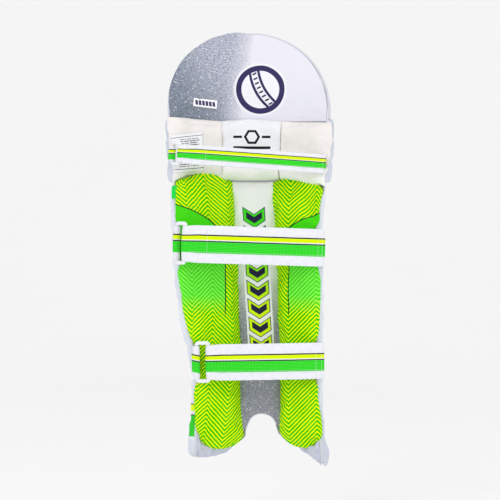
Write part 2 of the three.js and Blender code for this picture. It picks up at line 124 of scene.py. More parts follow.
def on_shell(angle, z, out):
    """The point at an angle round the shell, moved by out towards the batting face."""
    half, deep = half_at(z), shell_value(DEEP, z)
    nx, ny = deep * np.sin(angle), half * np.cos(angle)
    size = np.hypot(nx, ny)
    x = shell_value(X, z) + half * np.sin(angle) + out * nx / size
    y = shell_value(Y, z) - deep * (1 - np.cos(angle)) + out * ny / size
    return stacked(x, y, z)


def angle_at(x, z):
    sine = np.clip((x - shell_value(X, z)) / half_at(z), -1, 1)
    return np.clip(np.arcsin(sine), -turn_at(z), turn_at(z))


def edge_x(side, z):
    """The x of the shell's rear edge."""
    return shell_value(X, z) + side * half_at(z) * np.sin(turn_at(z))


def edge_share(angle, z):
    return np.abs(angle) / turn_at(z)


def core_out(angle, z):
    return CORE_EDGE + (CORE_MIDDLE - CORE_EDGE) * (1 - np.minimum(edge_share(angle, z), 1) ** 2)


def shin_top(angle):
    return KNEE_LINE - 1 - 9 * edge_share(angle, KNEE_LINE) ** 2


# ---- Number helpers ----
def mix(a, b, t):
    return a + (b - a) * t


def smooth(lo, hi, x):
    t = np.clip((x - lo) / (hi - lo), 0, 1)
    return t * t * (3 - 2 * t)


def crown(u, power):
    """0 at both edges and 1 across the middle, with round shoulders; a higher power is squarer."""
    return np.sqrt(np.clip(1 - np.abs(2 * u - 1) ** power, 0, 1))


def near(gap, width):
    """1 where gap is 0, and almost nothing from twice this width on."""
    return np.exp(-((gap / width) ** 2))


def stacked(*parts):
    """Numbers or arrays as the last axis of one array."""
    return np.stack(np.broadcast_arrays(*parts), -1)


def turned(x, y, angle):
    """A point of a plane, turned about its origin."""
    return x * math.cos(angle) - y * math.sin(angle), x * math.sin(angle) + y * math.cos(angle)


def spaced(n, ease):
    """n + 1 numbers from 0 to 1, closer together at both ends."""
    t = np.linspace(0, 1, n + 1)
    return t - ease * np.sin(2 * np.pi * t) / (2 * np.pi)


def hash_grid(ix, iy, iz, seed):
    """A repeatable number from -1 to 1 for each whole-numbered point."""
    h = (ix * 374761393 + iy * 668265263 + iz * 1274126177 + seed * 362437) & 0xFFFFFFFF
    h = ((h ^ (h >> 13)) * 1103515245) & 0xFFFFFFFF
    return ((h ^ (h >> 16)) & 0xFFFF) / 32767.5 - 1


def noise(p, size, seed=0):
    """Smooth noise from -1 to 1 at points p, with features of about this size (one number or three)."""
    q = p / np.asarray(size, float)
    cell = np.floor(q).astype(np.int64)
    f = q - cell
    f = f * f * (3 - 2 * f)
    total = 0
    for dx in (0, 1):
        for dy in (0, 1):
            for dz in (0, 1):
                weight = (
                    (f[..., 0] if dx else 1 - f[..., 0])
                    * (f[..., 1] if dy else 1 - f[..., 1])
                    * (f[..., 2] if dz else 1 - f[..., 2])
                )
                total = total + weight * hash_grid(
                    cell[..., 0] + dx, cell[..., 1] + dy, cell[..., 2] + dz, seed
                )
    return total


# ---- Mesh makers ----
def make_object(name, verts, faces, uvs=None):
    """An object from points in millimetres; uvs are per point, in millimetres, kept in metres."""
    mesh = bpy.data.meshes.new(name)
    mesh.from_pydata((np.asarray(verts) * MM).tolist(), [], [tuple(int(i) for i in f) for f in faces])
    if uvs is not None:
        layer = mesh.uv_layers.new(name="print")
        corner = np.empty(len(mesh.loops), np.int32)
        mesh.loops.foreach_get("vertex_index", corner)
        layer.data.foreach_set("uv", (np.asarray(uvs, np.float32)[corner] * MM).ravel())
    mesh.polygons.foreach_set("use_smooth", [True] * len(mesh.polygons))
    mesh.validate()
    obj = bpy.data.objects.new(name, mesh)
    SCENE.collection.objects.link(obj)
    face_out(obj)
    return obj


def face_out(obj):
    """Turns the faces round if the closed mesh is inside out."""
    mesh = obj.data
    mesh.calc_loop_triangles()
    co = points_of(obj)
    tri = np.array([t.vertices[:] for t in mesh.loop_triangles])
    a, b, c = (co[tri[:, k]] for k in range(3))
    if np.einsum("ij,ij->", a, np.cross(b, c)) < 0:
        mesh.flip_normals()


def read_vectors(items, attribute):
    values = np.empty(len(items) * 3, np.float32)
    items.foreach_get(attribute, values)
    return values.reshape(-1, 3).astype(float)


def points_of(obj):
    return read_vectors(obj.data.vertices, "co")


def set_points(obj, co):
    obj.data.vertices.foreach_set("co", np.asarray(co, np.float32).ravel())
    obj.data.update()


def wrapped(front):
    """The print's coordinates on a grid of points: lengths along the cloth, as x and z in its middle."""
    step = np.diff(front, axis=1)
    run = np.concatenate([0 * front[:, :1, 0], np.cumsum(np.hypot(step[..., 0], step[..., 1]), 1)], 1)
    middle = front.shape[1] // 2
    run *= np.sign(front[:, -1:, 0].sum() - front[:, :1, 0].sum())
    across = front[:, middle, 0][:, None] + run - run[:, middle][:, None]
    step = np.diff(front, axis=0)
    climb = np.concatenate([0 * front[:1, :, 0], np.cumsum(np.hypot(step[..., 1], step[..., 2]), 0)])
    middle = front.shape[0] // 2
    return across, front[middle, :, 2] + climb - climb[middle]


def pillow(name, place, rise, nu, nv, base=0.0, flat=None, ease=0.6):
    """A closed pad: a front that rises by rise(u, v) over a back, sewn together round the edge.

    place(u, v, out) gives points. flat(u, v) gives the print's coordinates, if they aren't just wrapped.
    """
    u, v = np.meshgrid(spaced(nu, ease), spaced(nv, ease))
    front = place(u, v, base + rise(u, v))
    back = place(u, v, base + 0 * u)
    inner = np.zeros(u.shape, bool)
    inner[1:-1, 1:-1] = True
    front_id = np.arange(u.size).reshape(u.shape)
    back_id = front_id.copy()
    back_id[inner] = u.size + np.arange(inner.sum())
    verts = np.concatenate([front.reshape(-1, 3), back[inner]])
    quads = []
    for ids, turned in ((front_id, False), (back_id, True)):
        q = np.stack([ids[:-1, :-1], ids[:-1, 1:], ids[1:, 1:], ids[1:, :-1]], -1).reshape(-1, 4)
        quads.append(q[:, ::-1] if turned else q)
    plan = stacked(*(flat(u, v) if flat else wrapped(front)))
    uv = np.concatenate([plan.reshape(-1, 2), plan[inner]])
    obj = make_object(name, verts, np.concatenate(quads), uv)
    edge = np.unique(np.concatenate([front_id[0], front_id[-1], front_id[:, 0], front_id[:, -1]]))
    pins = obj.vertex_groups.new(name="seam")
    pins.add([int(i) for i in edge] + list(range(u.size, len(verts))), 1.0, "REPLACE")
    return obj


def tube_faces(steps, count, closed=False):
    """The faces of a tube made of rings of points, with capped ends unless it is closed on itself."""
    ids = np.arange(steps * count).reshape(steps, count)
    nxt = np.roll(ids, -1, 1)
    faces = []
    for i in range(steps if closed else steps - 1):
        j = (i + 1) % steps
        faces += np.stack([ids[i], nxt[i], nxt[j], ids[j]], -1).tolist()
    if not closed:
        faces += [ids[0][::-1].tolist(), ids[-1].tolist()]
    return faces


def sweep(name, rings, uvs=None, closed=False):
    """A tube through rings of points, shaped (steps, points, 3)."""
    faces = tube_faces(*rings.shape[:2], closed)
    return make_object(name, rings.reshape(-1, 3), faces, None if uvs is None else uvs.reshape(-1, 2))


def frames_along(points):
    """Two directions square to a line of points, at each of them."""
    along = np.gradient(points, axis=0)
    along /= np.linalg.norm(along, axis=1, keepdims=True)
    side = np.empty_like(along)
    normal = np.array([0, 0, 1.0]) if abs(along[0][2]) < 0.9 else np.array([0, 1.0, 0])
    for i, t in enumerate(along):
        normal = normal - t * normal.dot(t)
        normal /= np.linalg.norm(normal)
        side[i] = normal
    return side, np.cross(along, side)


def tube(name, points, r, sides=10):
    side, up = frames_along(points)
    a = np.linspace(0, math.tau, sides, endpoint=False)[:, None]
    rings = points[:, None] + r * (np.cos(a) * side[:, None] + np.sin(a) * up[:, None])
    return sweep(name, rings)


def resample(points, step):
    """Points along the same line, evenly spaced by about step."""
    points = np.asarray(points, float)
    length = np.concatenate([[0], np.cumsum(np.linalg.norm(np.diff(points, axis=0), axis=1))])
    count = max(2, int(round(length[-1] / step)) + 1)
    at = np.linspace(0, length[-1], count)
    return np.stack([np.interp(at, length, points[:, k]) for k in range(points.shape[1])], -1)


# A stitch's outline: shares of its length, and of its thread's radius.
STITCH_PROFILE = [(-0.5, 0.25), (-0.38, 0.85), (0, 1.0), (0.38, 0.85), (0.5, 0.25)]
STITCH_SIDES = 6


def stitches(name, lines, length, gap, r):
    """Rows of thread: each stitch is a small spindle half sunk in the cloth. lines are lists of points."""
    verts, faces = [], []
    spindle = tube_faces(len(STITCH_PROFILE), STITCH_SIDES)
    turn = np.linspace(0, math.tau, STITCH_SIDES, endpoint=False)[:, None]
    for line in lines:
        points = resample(line, length + gap)
        for a, b in zip(points[:-1], points[1:]):
            along = (b - a) / np.linalg.norm(b - a)
            side = np.cross(along, [0.0, 1.0, 0.001])
            side /= np.linalg.norm(side)
            ring = r * (np.cos(turn) * side + np.sin(turn) * np.cross(side, along))
            faces += [[len(verts) + k for k in face] for face in spindle]
            for place, thick in STITCH_PROFILE:
                verts.extend((a + b) / 2 + along * (place * length) + thick * ring)
    return make_object(name, np.array(verts), faces)


# ---- Finishing a soft piece ----
def subdivide(obj):
    """Applies a subdivision to the mesh itself."""
    mod = obj.modifiers.new("fine", "SUBSURF")
    mod.levels = mod.render_levels = 1
    graph = bpy.context.evaluated_depsgraph_get()
    mesh = bpy.data.meshes.new_from_object(obj.evaluated_get(graph))
    obj.modifiers.clear()
    old = obj.data
    obj.data = mesh
    bpy.data.meshes.remove(old)


def crumple(obj, depth, size, seed, sharp=False):
    """Moves the surface in and out by depth millimetres, with folds of this size."""
    co = points_of(obj)
    n = noise(co / MM, size, seed) + 0.5 * noise(co / MM, np.asarray(size, float) * 0.45, seed + 7)
    if sharp:
        n = 0.55 - np.abs(n) * 1.3
    normals = read_vectors(obj.data.vertex_normals, "vector")
    set_points(obj, co + normals * (n * depth * MM)[:, None])


SOFT = []  # the covers that are simulated: (object, growth of the cloth, pressure, cap in mm)


def simulate(frames=14):
    """Runs every cover's cloth simulation: its seam stays, and the rest fills out and puckers."""
    rest = {}
    for obj, growth, pressure, _ in SOFT:
        rest[obj] = points_of(obj)
        cloth = obj.modifiers.new("cloth", "CLOTH")
        s = cloth.settings
        s.quality = 5
        s.mass = 0.25
        s.tension_stiffness = s.compression_stiffness = 12
        s.shear_stiffness = 6
        s.bending_stiffness = 0.6
        s.use_pressure = True
        s.uniform_pressure_force = pressure
        s.shrink_min = -growth
        s.vertex_group_mass = "seam"
        s.pin_stiffness = 1
        s.effector_weights.gravity = 0
        cloth.collision_settings.use_collision = False
        cloth.collision_settings.use_self_collision = False
        cloth.point_cache.frame_start = 1
        cloth.point_cache.frame_end = frames
    for f in range(1, frames + 1):
        SCENE.frame_set(f)
    graph = bpy.context.evaluated_depsgraph_get()
    for obj, _, _, cap in SOFT:
        moved = read_vectors(obj.evaluated_get(graph).to_mesh().vertices, "co") - rest[obj]
        obj.evaluated_get(graph).to_mesh_clear()
        size = np.linalg.norm(moved, axis=1, keepdims=True)
        moved *= np.minimum(1, cap * MM / np.maximum(size, 1e-9))
        obj.modifiers.clear()
        set_points(obj, rest[obj] + moved)
    SCENE.frame_set(1)


# ---- Materials ----
def srgb(r, g, b):
    """A colour given as it looks on screen, 0 to 255, as linear light."""
    def linear(c):
        c /= 255
        return c / 12.92 if c <= 0.04045 else ((c + 0.055) / 1.055) ** 2.4
    return (linear(r), linear(g), linear(b))


def feed(tree, socket, value):
    """Gives an input socket a Wire or another socket to follow, or a number or colour to keep."""
    if isinstance(value, Wire):
        value = value.socket
    if isinstance(value, bpy.types.NodeSocket):
        tree.links.new(value, socket)
    else:
        socket.default_value = (*value, 1.0) if isinstance(value, tuple) else value


def math_node(kind):
    """A method of Wire that adds one Math node of this kind."""
    def method(self, *others):
        return self.math(kind, *others)
    return method


class Wire:
    """A number in a material's nodes. Arithmetic on it adds Math nodes."""

    def __init__(self, tree, socket):
        self.tree, self.socket = tree, socket

    def math(self, kind, *others, clamp=False):
        node = self.tree.nodes.new("ShaderNodeMath")
        node.operation = kind
        node.use_clamp = clamp
        for socket, value in zip(node.inputs, (self, *others)):
            feed(self.tree, socket, value)
        return Wire(self.tree, node.outputs[0])

    __add__ = __radd__ = math_node("ADD")
    __mul__ = __rmul__ = math_node("MULTIPLY")
    __sub__ = math_node("SUBTRACT")
    __truediv__ = math_node("DIVIDE")
    __pow__ = math_node("POWER")
    abs = math_node("ABSOLUTE")
    floor = math_node("FLOOR")
    fract = math_node("FRACT")
    sqrt = math_node("SQRT")
    sin = math_node("SINE")
    max = math_node("MAXIMUM")
    above = math_node("GREATER_THAN")
    below = math_node("LESS_THAN")

    def __rsub__(self, other):
        return self * -1.0 + other

    def step(self, lo, hi):
        """0 below lo and 1 above hi, smooth between; lo above hi turns it round."""
        t = ((self - lo) / (hi - lo)).math("ADD", 0.0, clamp=True)
        return t * t * (3.0 - t * 2.0)

    def band(self, lo, hi, soft=0.15):
        """1 between lo and hi."""
        return self.step(lo - soft, lo + soft) * self.step(hi + soft, hi - soft)


class Look:
    """A material being made: its node tree, its Principled shader, and the print's coordinates."""

    def __init__(self, name, rough, sheen=0.0, coat=0.0, shine=0.3):
        self.material = bpy.data.materials.new(name)
        self.material.use_nodes = True
        self.tree = self.material.node_tree
        self.shader = self.tree.nodes["Principled BSDF"]
        self.shader.inputs["Roughness"].default_value = rough
        self.shader.inputs["Specular IOR Level"].default_value = shine
        if sheen:
            self.shader.inputs["Sheen Weight"].default_value = sheen
            self.shader.inputs["Sheen Roughness"].default_value = 0.4
        if coat:
            self.shader.inputs["Coat Weight"].default_value = coat
            self.shader.inputs["Coat Roughness"].default_value = 0.25
        self._plan = None
        self._place = None

    def plan(self):
        """The print's two coordinates, in millimetres."""
        if self._plan is None:
            node = self.tree.nodes.new("ShaderNodeUVMap")
            node.uv_map = "print"
            parts = self.tree.nodes.new("ShaderNodeSeparateXYZ")
            feed(self.tree, parts.inputs[0], node.outputs[0])
            self._plan = [Wire(self.tree, parts.outputs[i]) * (1 / MM) for i in (0, 1)]
        return self._plan

    def place(self):
        """The point's own place on the piece, in metres."""
        if self._place is None:
            self._place = self.tree.nodes.new("ShaderNodeTexCoord").outputs["Object"]
        return self._place

    def vector(self, x, y, z=0.0):
        node = self.tree.nodes.new("ShaderNodeCombineXYZ")
        for socket, value in zip(node.inputs, (x, y, z)):
            feed(self.tree, socket, value)
        return node.outputs[0]

    def pattern(self, kind, size_mm, vector):
        """A texture node whose cells are of this size, on a vector in millimetres or else on its place."""
        node = self.tree.nodes.new(kind)
        node.inputs["Scale"].default_value = (1.0 if vector is not None else 1 / MM) / size_mm
        feed(self.tree, node.inputs["Vector"], self.place() if vector is None else vector)
        return node

    def noise(self, size_mm, detail=2.0, vector=None):
        node = self.pattern("ShaderNodeTexNoise", size_mm, vector)
        node.inputs["Detail"].default_value = detail
        return Wire(self.tree, node.outputs[0])

    def cells(self, size_mm, feature="F1", vector=None):
        node = self.pattern("ShaderNodeTexVoronoi", size_mm, vector)
        node.feature = feature
        return Wire(self.tree, node.outputs["Distance"])

    def random(self, value):
        node = self.tree.nodes.new("ShaderNodeTexWhiteNoise")
        node.noise_dimensions = "1D"
        feed(self.tree, node.inputs["W"], value)
        return Wire(self.tree, node.outputs["Value"])

    def mix(self, share, a, b):
        """Colour a where share is 0 and b where it is 1."""
        node = self.tree.nodes.new("ShaderNodeMix")
        node.data_type = "RGBA"
        feed(self.tree, node.inputs[0], share)
        feed(self.tree, node.inputs[6], a)
        feed(self.tree, node.inputs[7], b)
        return node.outputs[2]

    def over(self, ground, *layers):
        """Colours laid one over another, as (share, colour)."""
        for share, colour in layers:
            ground = self.mix(share, ground, colour)
        return ground

    def made(self, colour, bump_mm=None, rough=None):
        """The finished material, with its colour, the height of its bumps and its own roughness, if any."""
        feed(self.tree, self.shader.inputs["Base Color"], colour)
        if rough is not None:
            feed(self.tree, self.shader.inputs["Roughness"], rough)
        if bump_mm is not None:
            node = self.tree.nodes.new("ShaderNodeBump")
            node.inputs["Distance"].default_value = MM
            feed(self.tree, node.inputs["Height"], bump_mm)
            feed(self.tree, self.shader.inputs["Normal"], node.outputs[0])
        return self.material


WHITE = srgb(232, 233, 241)
LAVENDER = srgb(214, 216, 230)
NAVY = srgb(52, 46, 92)
BLACK = srgb(22, 24, 40)
LIME = srgb(222, 250, 0)
GREEN = srgb(34, 200, 30)
FRESH_GREEN = srgb(74, 222, 26)
PALE_GREEN = srgb(140, 252, 96)


def grain(look):
    """The fine pebbled grain of coated fabric, with faint long creases."""
    return look.cells(0.9, "SMOOTH_F1") * 0.1 + look.noise(26.0, 3.0) * 0.25


def ripple(wire, pitch):
    """A sine wave, pitch millimetres long."""
    return (wire * (math.tau / pitch)).sin()


def weave(look, pitch, depth):
    """An over-and-under weave in the print's coordinates."""
    x, z = look.plan()
    return ripple(x, pitch) * ripple(z, pitch) * depth


def coated_white(name, tint, shade, low_shade_share=0.0, end_shade_share=0.0):
    """White coated cloth, with painted shade low on the pad and towards its sides if asked."""
    look = Look(name, 0.46, coat=0.08)
    dirt = look.noise(60.0, 4.0).step(0.35, 0.75)
    x, z = look.plan()
    # Painted shade, low on the pad and towards its sides, where the cloth turns away from the light.
    painted_shade = (z.step(-360.0, -480.0) * low_shade_share).max(x.abs().step(120.0, 165.0) * end_shade_share)
    return look.made(
        look.mix(dirt * 0.55, look.mix(painted_shade, tint, shade), shade),
        grain(look),
        look.noise(8.0, 3.0) * 0.16 + 0.38,
    )


def front_white(name):
    """Coated white with the printed stripes that sweep up from the outer ankle."""
    look = Look(name, 0.44, coat=0.1)
    s, z = look.plan()
    sweep_up = (s + 96.0).max(0.0)
    level = z - (sweep_up * sweep_up * 0.006 + sweep_up * 0.35)
    ends = s.step(64.0, 58.0)
    base = look.mix(look.noise(60.0, 4.0).step(0.35, 0.75) * 0.55, WHITE, LAVENDER)
    base = look.over(base, *((level.band(lo, hi, 0.25) * ends, colour) for lo, hi, colour in (
        (-415.7, -414.0, BLACK), (-426.0, -415.7, LIME), (-434.0, -432.0, BLACK), (-469.6, -434.0, GREEN),
    )))
    foot = z.step(-466.0, -480.0) * s.step(-84.0, -100.0)
    return look.made(
        look.mix(foot * 0.8, base, srgb(206, 213, 226)),
        grain(look),
        look.noise(8.0, 3.0) * 0.16 + 0.36,
    )


def soft_lining(name, tint, shade):
    look = Look(name, 0.8, sheen=0.1, shine=0.1)
    return look.made(
        look.mix(look.noise(40.0, 3.0).step(0.35, 0.8) * 0.6, tint, shade),
        weave(look, 0.9, 0.05) + look.noise(14.0, 3.0) * 0.35,
    )


def zigzag(x, corners):
    """How far the chevrons have climbed at x. They turn at each corner, a valley first, at 45 degrees."""
    climb = x
    sign = -2.0
    for corner in corners:
        climb = climb + (x - corner).max(0.0) * sign
        sign = -sign
    return climb


def chevron_cloth(name, corners, edge_curve, side, border):
    """Green and yellow chevrons, a plain panel that they fade into, and its black border line.

    side is -1 where the plain panel is on the left and 1 on the right. border gives the panel's edge: the x
    of its straight lower part, how far it runs out to the side at its top, and the heights of its two ends.
    """
    look = Look(name, 0.7, shine=0.06)
    x, z = look.plan()
    height = (z + 250.0) / 200.0
    drift = 1.0 - height * height
    xs = x - drift * edge_curve
    column = (xs / 9.0).floor()
    jog = look.random(column) * 1.9
    ragged = (look.noise(2.4, 2.0) - 0.5) * 1.4
    climb = zigzag(xs, corners)
    phase = ((z + climb + jog + ragged) / 6.9).fract()
    stripe = phase.step(0.08, 0.22) * phase.step(0.70, 0.54)
    shade = look.noise(30.0, 2.0).step(0.3, 0.7)
    green = look.mix(shade, srgb(30, 194, 0), srgb(64, 206, 22))
    yellow = look.mix(shade, srgb(226, 250, 0), srgb(240, 252, 0))
    chevrons = look.mix(stripe, green, yellow)
    # The plain panel: chevrons fade in again, pale first, below the calf strap.
    fade = z.step(-232.0, -274.0)
    tone = look.mix(stripe * z.step(-170.0, -200.0) * 0.85, FRESH_GREEN, PALE_GREEN)
    panel = look.mix(fade, tone, chevrons)
    straight, reach, foot, head, power = border
    share = ((z - foot) / (head - foot)).max(0.0)
    curve = share ** power
    slope = share ** (power - 1.0) * (reach * power / (head - foot))
    inside = ((x - straight) * side - curve * reach) / (slope * slope + 1.0).sqrt()
    colour = look.mix(inside.above(0.0), chevrons, panel)
    colour = look.mix(inside.abs().step(1.0, 0.6) * z.step(-278.0, -262.0), colour, BLACK)
    return look.made(colour, weave(look, 0.7, 0.05) + look.noise(18.0, 3.0) * 0.3)


def scales(look, x, z, size=2.4):
    """A pebbled, reptile-like print: (light outlines, dark strokes, sparkles), each from 0 to 1."""
    wobble = look.noise(7.0, 2.0) * 3.0
    v = look.vector(x + wobble, z * 1.5 + wobble * 0.6)
    rim = look.cells(size, "DISTANCE_TO_EDGE", v).step(0.16, 0.02)
    strokes = look.noise(1.9, 2.0, look.vector(x * 0.5, z * 1.2)).step(0.47, 0.6)
    dots = look.cells(5.6, "F1", v).step(0.2, 0.13)
    return rim, strokes, dots


def hat_print(name):
    look = Look(name, 0.5, shine=0.15)
    x, z = look.plan()
    rim, strokes, dots = scales(look, x, z)
    reach = x - z * 0.15 + 38.0 + (look.noise(24.0, 2.0) - 0.5) * 12.0
    fade = reach.step(34.0, -26.0)
    depth = (x * 0.8 + z * 0.45).step(34.0, -66.0)
    ground = look.mix(depth, srgb(194, 190, 208), srgb(108, 110, 126))
    ground = look.over(
        ground, (strokes * 0.8, srgb(92, 92, 114)), (rim * 0.6, srgb(170, 190, 202)),
        (dots, srgb(246, 248, 252)),
    )
    speckled = look.mix((look.noise(1.6, 3.0) + fade * 1.5).step(0.72, 1.05), srgb(228, 227, 236), ground)
    colour = look.mix(fade, srgb(228, 227, 237), speckled)
    return look.made(emblem(look, x, z, colour), rim * fade * 0.12 + look.noise(20.0, 3.0) * 0.35)


def emblem(look, x, z, ground):
    """A plain ball with a curved double seam, in navy with a white halo."""
    dx, dz = x - 17.0, z - 99.0
    turn = math.radians(28)
    a, b = turned(dx, dz, -turn)
    r = (dx * dx + dz * dz).sqrt()
    ring = r.band(31.0, 40.0, 0.3)
    bow = a - b * b * 0.006
    seams = (bow - 6.5).abs().band(-1.0, 2.2, 0.25).max((bow + 8.5).abs().band(-1.0, 2.2, 0.25))
    ticks = (b / 8.0).fract().band(0.28, 0.64, 0.04) * (bow + 1.0).abs().band(-1.0, 3.6, 0.3)
    mark = ring.max(seams.max(ticks) * r.below(32.0))
    halo = r.step(46.0, 41.0)
    return look.over(ground, (halo, srgb(238, 238, 245)), (mark, NAVY))


def channel_print(name):
    """The centre channel: white, then pebbled grey, with a column of arrowheads and painted green reflected
    light at its sides.
    """
    look = Look(name, 0.55, shine=0.12)
    x, z = look.plan()
    rim, strokes, dots = scales(look, x, z, 2.8)
    depth = z.step(-165.0, -300.0)
    ground = look.mix(depth, srgb(246, 246, 248), srgb(150, 148, 166))
    shown = z.step(-205.0, -280.0)
    # Painted reflected light: a faint green at the channel's sides, bounced from the green bolsters beside
    # it.
    edge = (x - 10.0).abs().step(22.0, 36.0) * z.step(-150.0, -190.0) * z.step(-300.0, -260.0)
    ground = look.over(
        ground, (strokes * shown * 0.8, srgb(98, 96, 116)), (rim * shown * 0.45, srgb(196, 196, 210)),
        (dots * shown, srgb(252, 252, 255)), (edge * 0.25, srgb(212, 238, 190)),
    )
    return look.made(arrowheads(look, x, z, ground), rim * shown * 0.15 + look.noise(20.0, 3.0) * 0.3)


def arrowheads(look, x, z, ground):
    """Bold arrowheads that point down the shin, one above another, with a bevel and a white halo."""
    pitch, top, count = 30.0, -94.0, 8
    side = (x - 6.0 + (z - top) * 0.055).abs()
    fall = top - z
    lean = fall + side * 0.66 - 11.0
    index = (lean / pitch).floor()
    along = lean - index * pitch
    inside = index.above(-0.5) * index.below(count - 0.5)
    halo = lean.band(-3.5, pitch * count - 2.5, 0.3) * side.step(22.0, 21.2)
    rim = along.band(0.0, 23.0, 0.3) * side.step(18.6, 18.2) * inside
    lime = along.band(1.6, 21.4, 0.3) * side.step(17.2, 16.8) * inside
    core = along.band(5.0, 15.5, 0.3) * side.step(13.2, 12.8) * inside
    bevel = look.mix((fall / 190.0).step(0.25, 0.95), srgb(70, 222, 30), LIME)
    layers = [(halo, srgb(246, 246, 250)), (rim, NAVY), (lime, bevel), (core, srgb(34, 34, 66))]
    return look.over(ground, *layers)


def knee_mark(look, x, z, ground):
    """A black hexagon ring between two bars, over a wider bar."""
    dx, dz = (x - 3.0).abs(), (z - 22.0).abs()
    hexagon = (dx * 0.866 + dz * 0.5).max(dz)
    mark = hexagon.band(7.6, 11.4, 0.25)
    wings = dz.step(2.2, 1.8) * dx.band(16.0, 30.0, 0.25)
    bar = (z - 4.6).abs().step(2.4, 2.0) * dx.step(30.2, 29.8)
    return look.mix(mark.max(wings).max(bar), ground, srgb(34, 34, 38))


def knee_centre(name):
    look = Look(name, 0.75, sheen=0.1, shine=0.1)
    x, z = look.plan()
    ground = look.mix(look.noise(40.0, 3.0).step(0.35, 0.8) * 0.5, srgb(240, 241, 246), srgb(230, 231, 238))
    return look.made(knee_mark(look, x, z, ground), weave(look, 0.9, 0.05) + look.noise(14.0, 3.0) * 0.35)


def brushed_strap(name):
    """The white brushed loop face of the straps, a little hairy."""
    look = Look(name, 0.85, sheen=0.1, shine=0.1)
    hairs = look.noise(5.0, 4.0).step(0.3, 0.75) * 0.6
    return look.made(
        look.mix(hairs, srgb(236, 236, 244), srgb(222, 223, 234)),
        look.noise(0.8, 3.0) * 0.25 + look.noise(9.0, 2.0) * 0.3,
    )


# The striped tapes, as shares of their own width from the top: black, yellow, white, black, green.
STRIPES = [(-0.01, 0.07, BLACK), (0.07, 0.28, LIME), (0.33, 0.40, BLACK), (0.40, 1.01, GREEN)]
NARROW_STRIPES = [(-0.01, 0.08, BLACK), (0.08, 0.34, LIME), (0.38, 0.47, BLACK), (0.47, 1.01, GREEN)]


def striped_tape(name, width, stripes):
    look = Look(name, 0.65, shine=0.08)
    along, across = look.plan()
    share = 0.5 - across / width
    colour = srgb(236, 236, 244)
    cross = (ripple(along + across, 4.8) * ripple(along - across, 4.8)).step(-0.5, 0.6)
    for lo, hi, tint in stripes:
        shaded = look.mix(cross, tint, srgb(74, 234, 62)) if tint is GREEN else tint
        ragged = share + (look.noise(1.2, 2.0) - 0.5) * 0.02
        colour = look.mix(ragged.band(lo, hi, 0.008), colour, shaded)
    return look.made(colour, cross * 0.12 + ripple(across, 0.6) * 0.04)


def green_webbing(name):
    look = Look(name, 0.5, sheen=0.1)
    return look.made(
        look.mix(look.noise(3.0, 3.0).step(0.3, 0.7), srgb(0, 214, 66), srgb(10, 240, 84)),
        weave(look, 1.2, 0.12),
    )


def hook_tape(name):
    look = Look(name, 0.7)
    hooks = weave(look, 1.1, 1.0).step(0.2, 0.8)
    return look.made(look.mix(hooks, srgb(205, 205, 212), srgb(245, 245, 248)), hooks * 0.5)


def ring_plastic(name):
    look = Look(name, 0.32, coat=0.3)
    clouds = look.noise(12.0, 3.0).step(0.3, 0.8) * 0.5
    return look.made(
        look.mix(clouds, srgb(240, 240, 246), srgb(228, 228, 238)),
        look.noise(2.5, 2.0) * 0.04,
        look.noise(3.0, 4.0) * 0.15 + 0.25,
    )


def thread(name, colour):
    look = Look(name, 0.7, sheen=0.2)
    dark = tuple(c * 0.7 for c in colour)
    return look.made(look.mix(look.noise(0.6, 2.0), dark, colour), look.noise(0.35, 2.0) * 0.12)


def care_print(name, width, height):
    """A white label with a few grey rules, standing for small print, between two border lines."""
    look = Look(name, 0.55)
    x, z = look.plan()
    line = z / 3.6
    row = line.floor()
    starts = look.random(row) * 9.0 - width * 0.36
    ends = look.random(row + 41.0) * -14.0 + width * 0.44
    text = line.fract().band(0.28, 0.7, 0.05) * (x - starts).above(0.0) * (ends - x).above(0.0)
    broken = look.noise(2.2, 1.0, look.vector(x, row * 7.0)).step(0.4, 0.46)
    rows = z.abs().below(height * 0.36)
    rules = (z.abs() - height * 0.42).abs().below(0.5)
    mark = (text * broken * rows).max(rules)
    return look.made(look.mix(mark, srgb(246, 246, 250), srgb(44, 44, 60)), weave(look, 0.5, 0.03))


def name_print(name):
    look = Look(name, 0.5)
    x, z = look.plan()
    bars = ((x + z * 0.2) / 6.0).fract().band(0.1, 0.86, 0.04) * z.abs().below(3.9) * x.abs().below(18.0)
    return look.made(look.mix(bars, srgb(248, 248, 252), NAVY), weave(look, 0.5, 0.03))


def plain_grained(name, light, dark, size, rough, stretch=1.0):
    """Cane or moulded plastic: two close colours in a grain stretched along Z."""
    look = Look(name, rough)
    node = look.tree.nodes.new("ShaderNodeMapping")
    node.inputs["Scale"].default_value = (1 / MM, 1 / MM, 1 / MM / stretch)
    feed(look.tree, node.inputs["Vector"], look.place())
    value = look.noise(size, 4.0, node.outputs[0])
    return look.made(look.mix(value.step(0.3, 0.7), dark, light), value * 0.3)


# ---- Pieces waiting to be finished ----
KNEE_BEND = ("shin", "knee", (0, 0, -0.050), (0, 0, -0.030))
HAT_BEND = ("knee", "top_hat", (0, 0, 0.052), (0, 0, 0.075))
PIECES = []


def piece(obj, material, slot, body, replaces=(), fill=None, cloth=None, folds=()):
    """Notes how obj is finished. body is a body, or a bend between two, and fill is not used.

    cloth is (growth, pressure, cap in mm) for a cover that is simulated and then subdivided, and folds are
    (depth, size, seed, sharp) for crumple.
    """
    obj.data.materials.append(material)
    if cloth:
        SOFT.append((obj, *cloth))
    PIECES.append((obj, slot, body, replaces, fill, cloth, folds))


def finish_pieces():
    for obj, slot, body, replaces, fill, cloth, folds in PIECES:
        if cloth:
            subdivide(obj)
        for fold in folds:
            crumple(obj, *fold)
        if replaces:
            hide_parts(*replaces)
        if isinstance(body, str):
            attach(obj, body)
        else:
            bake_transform(obj)


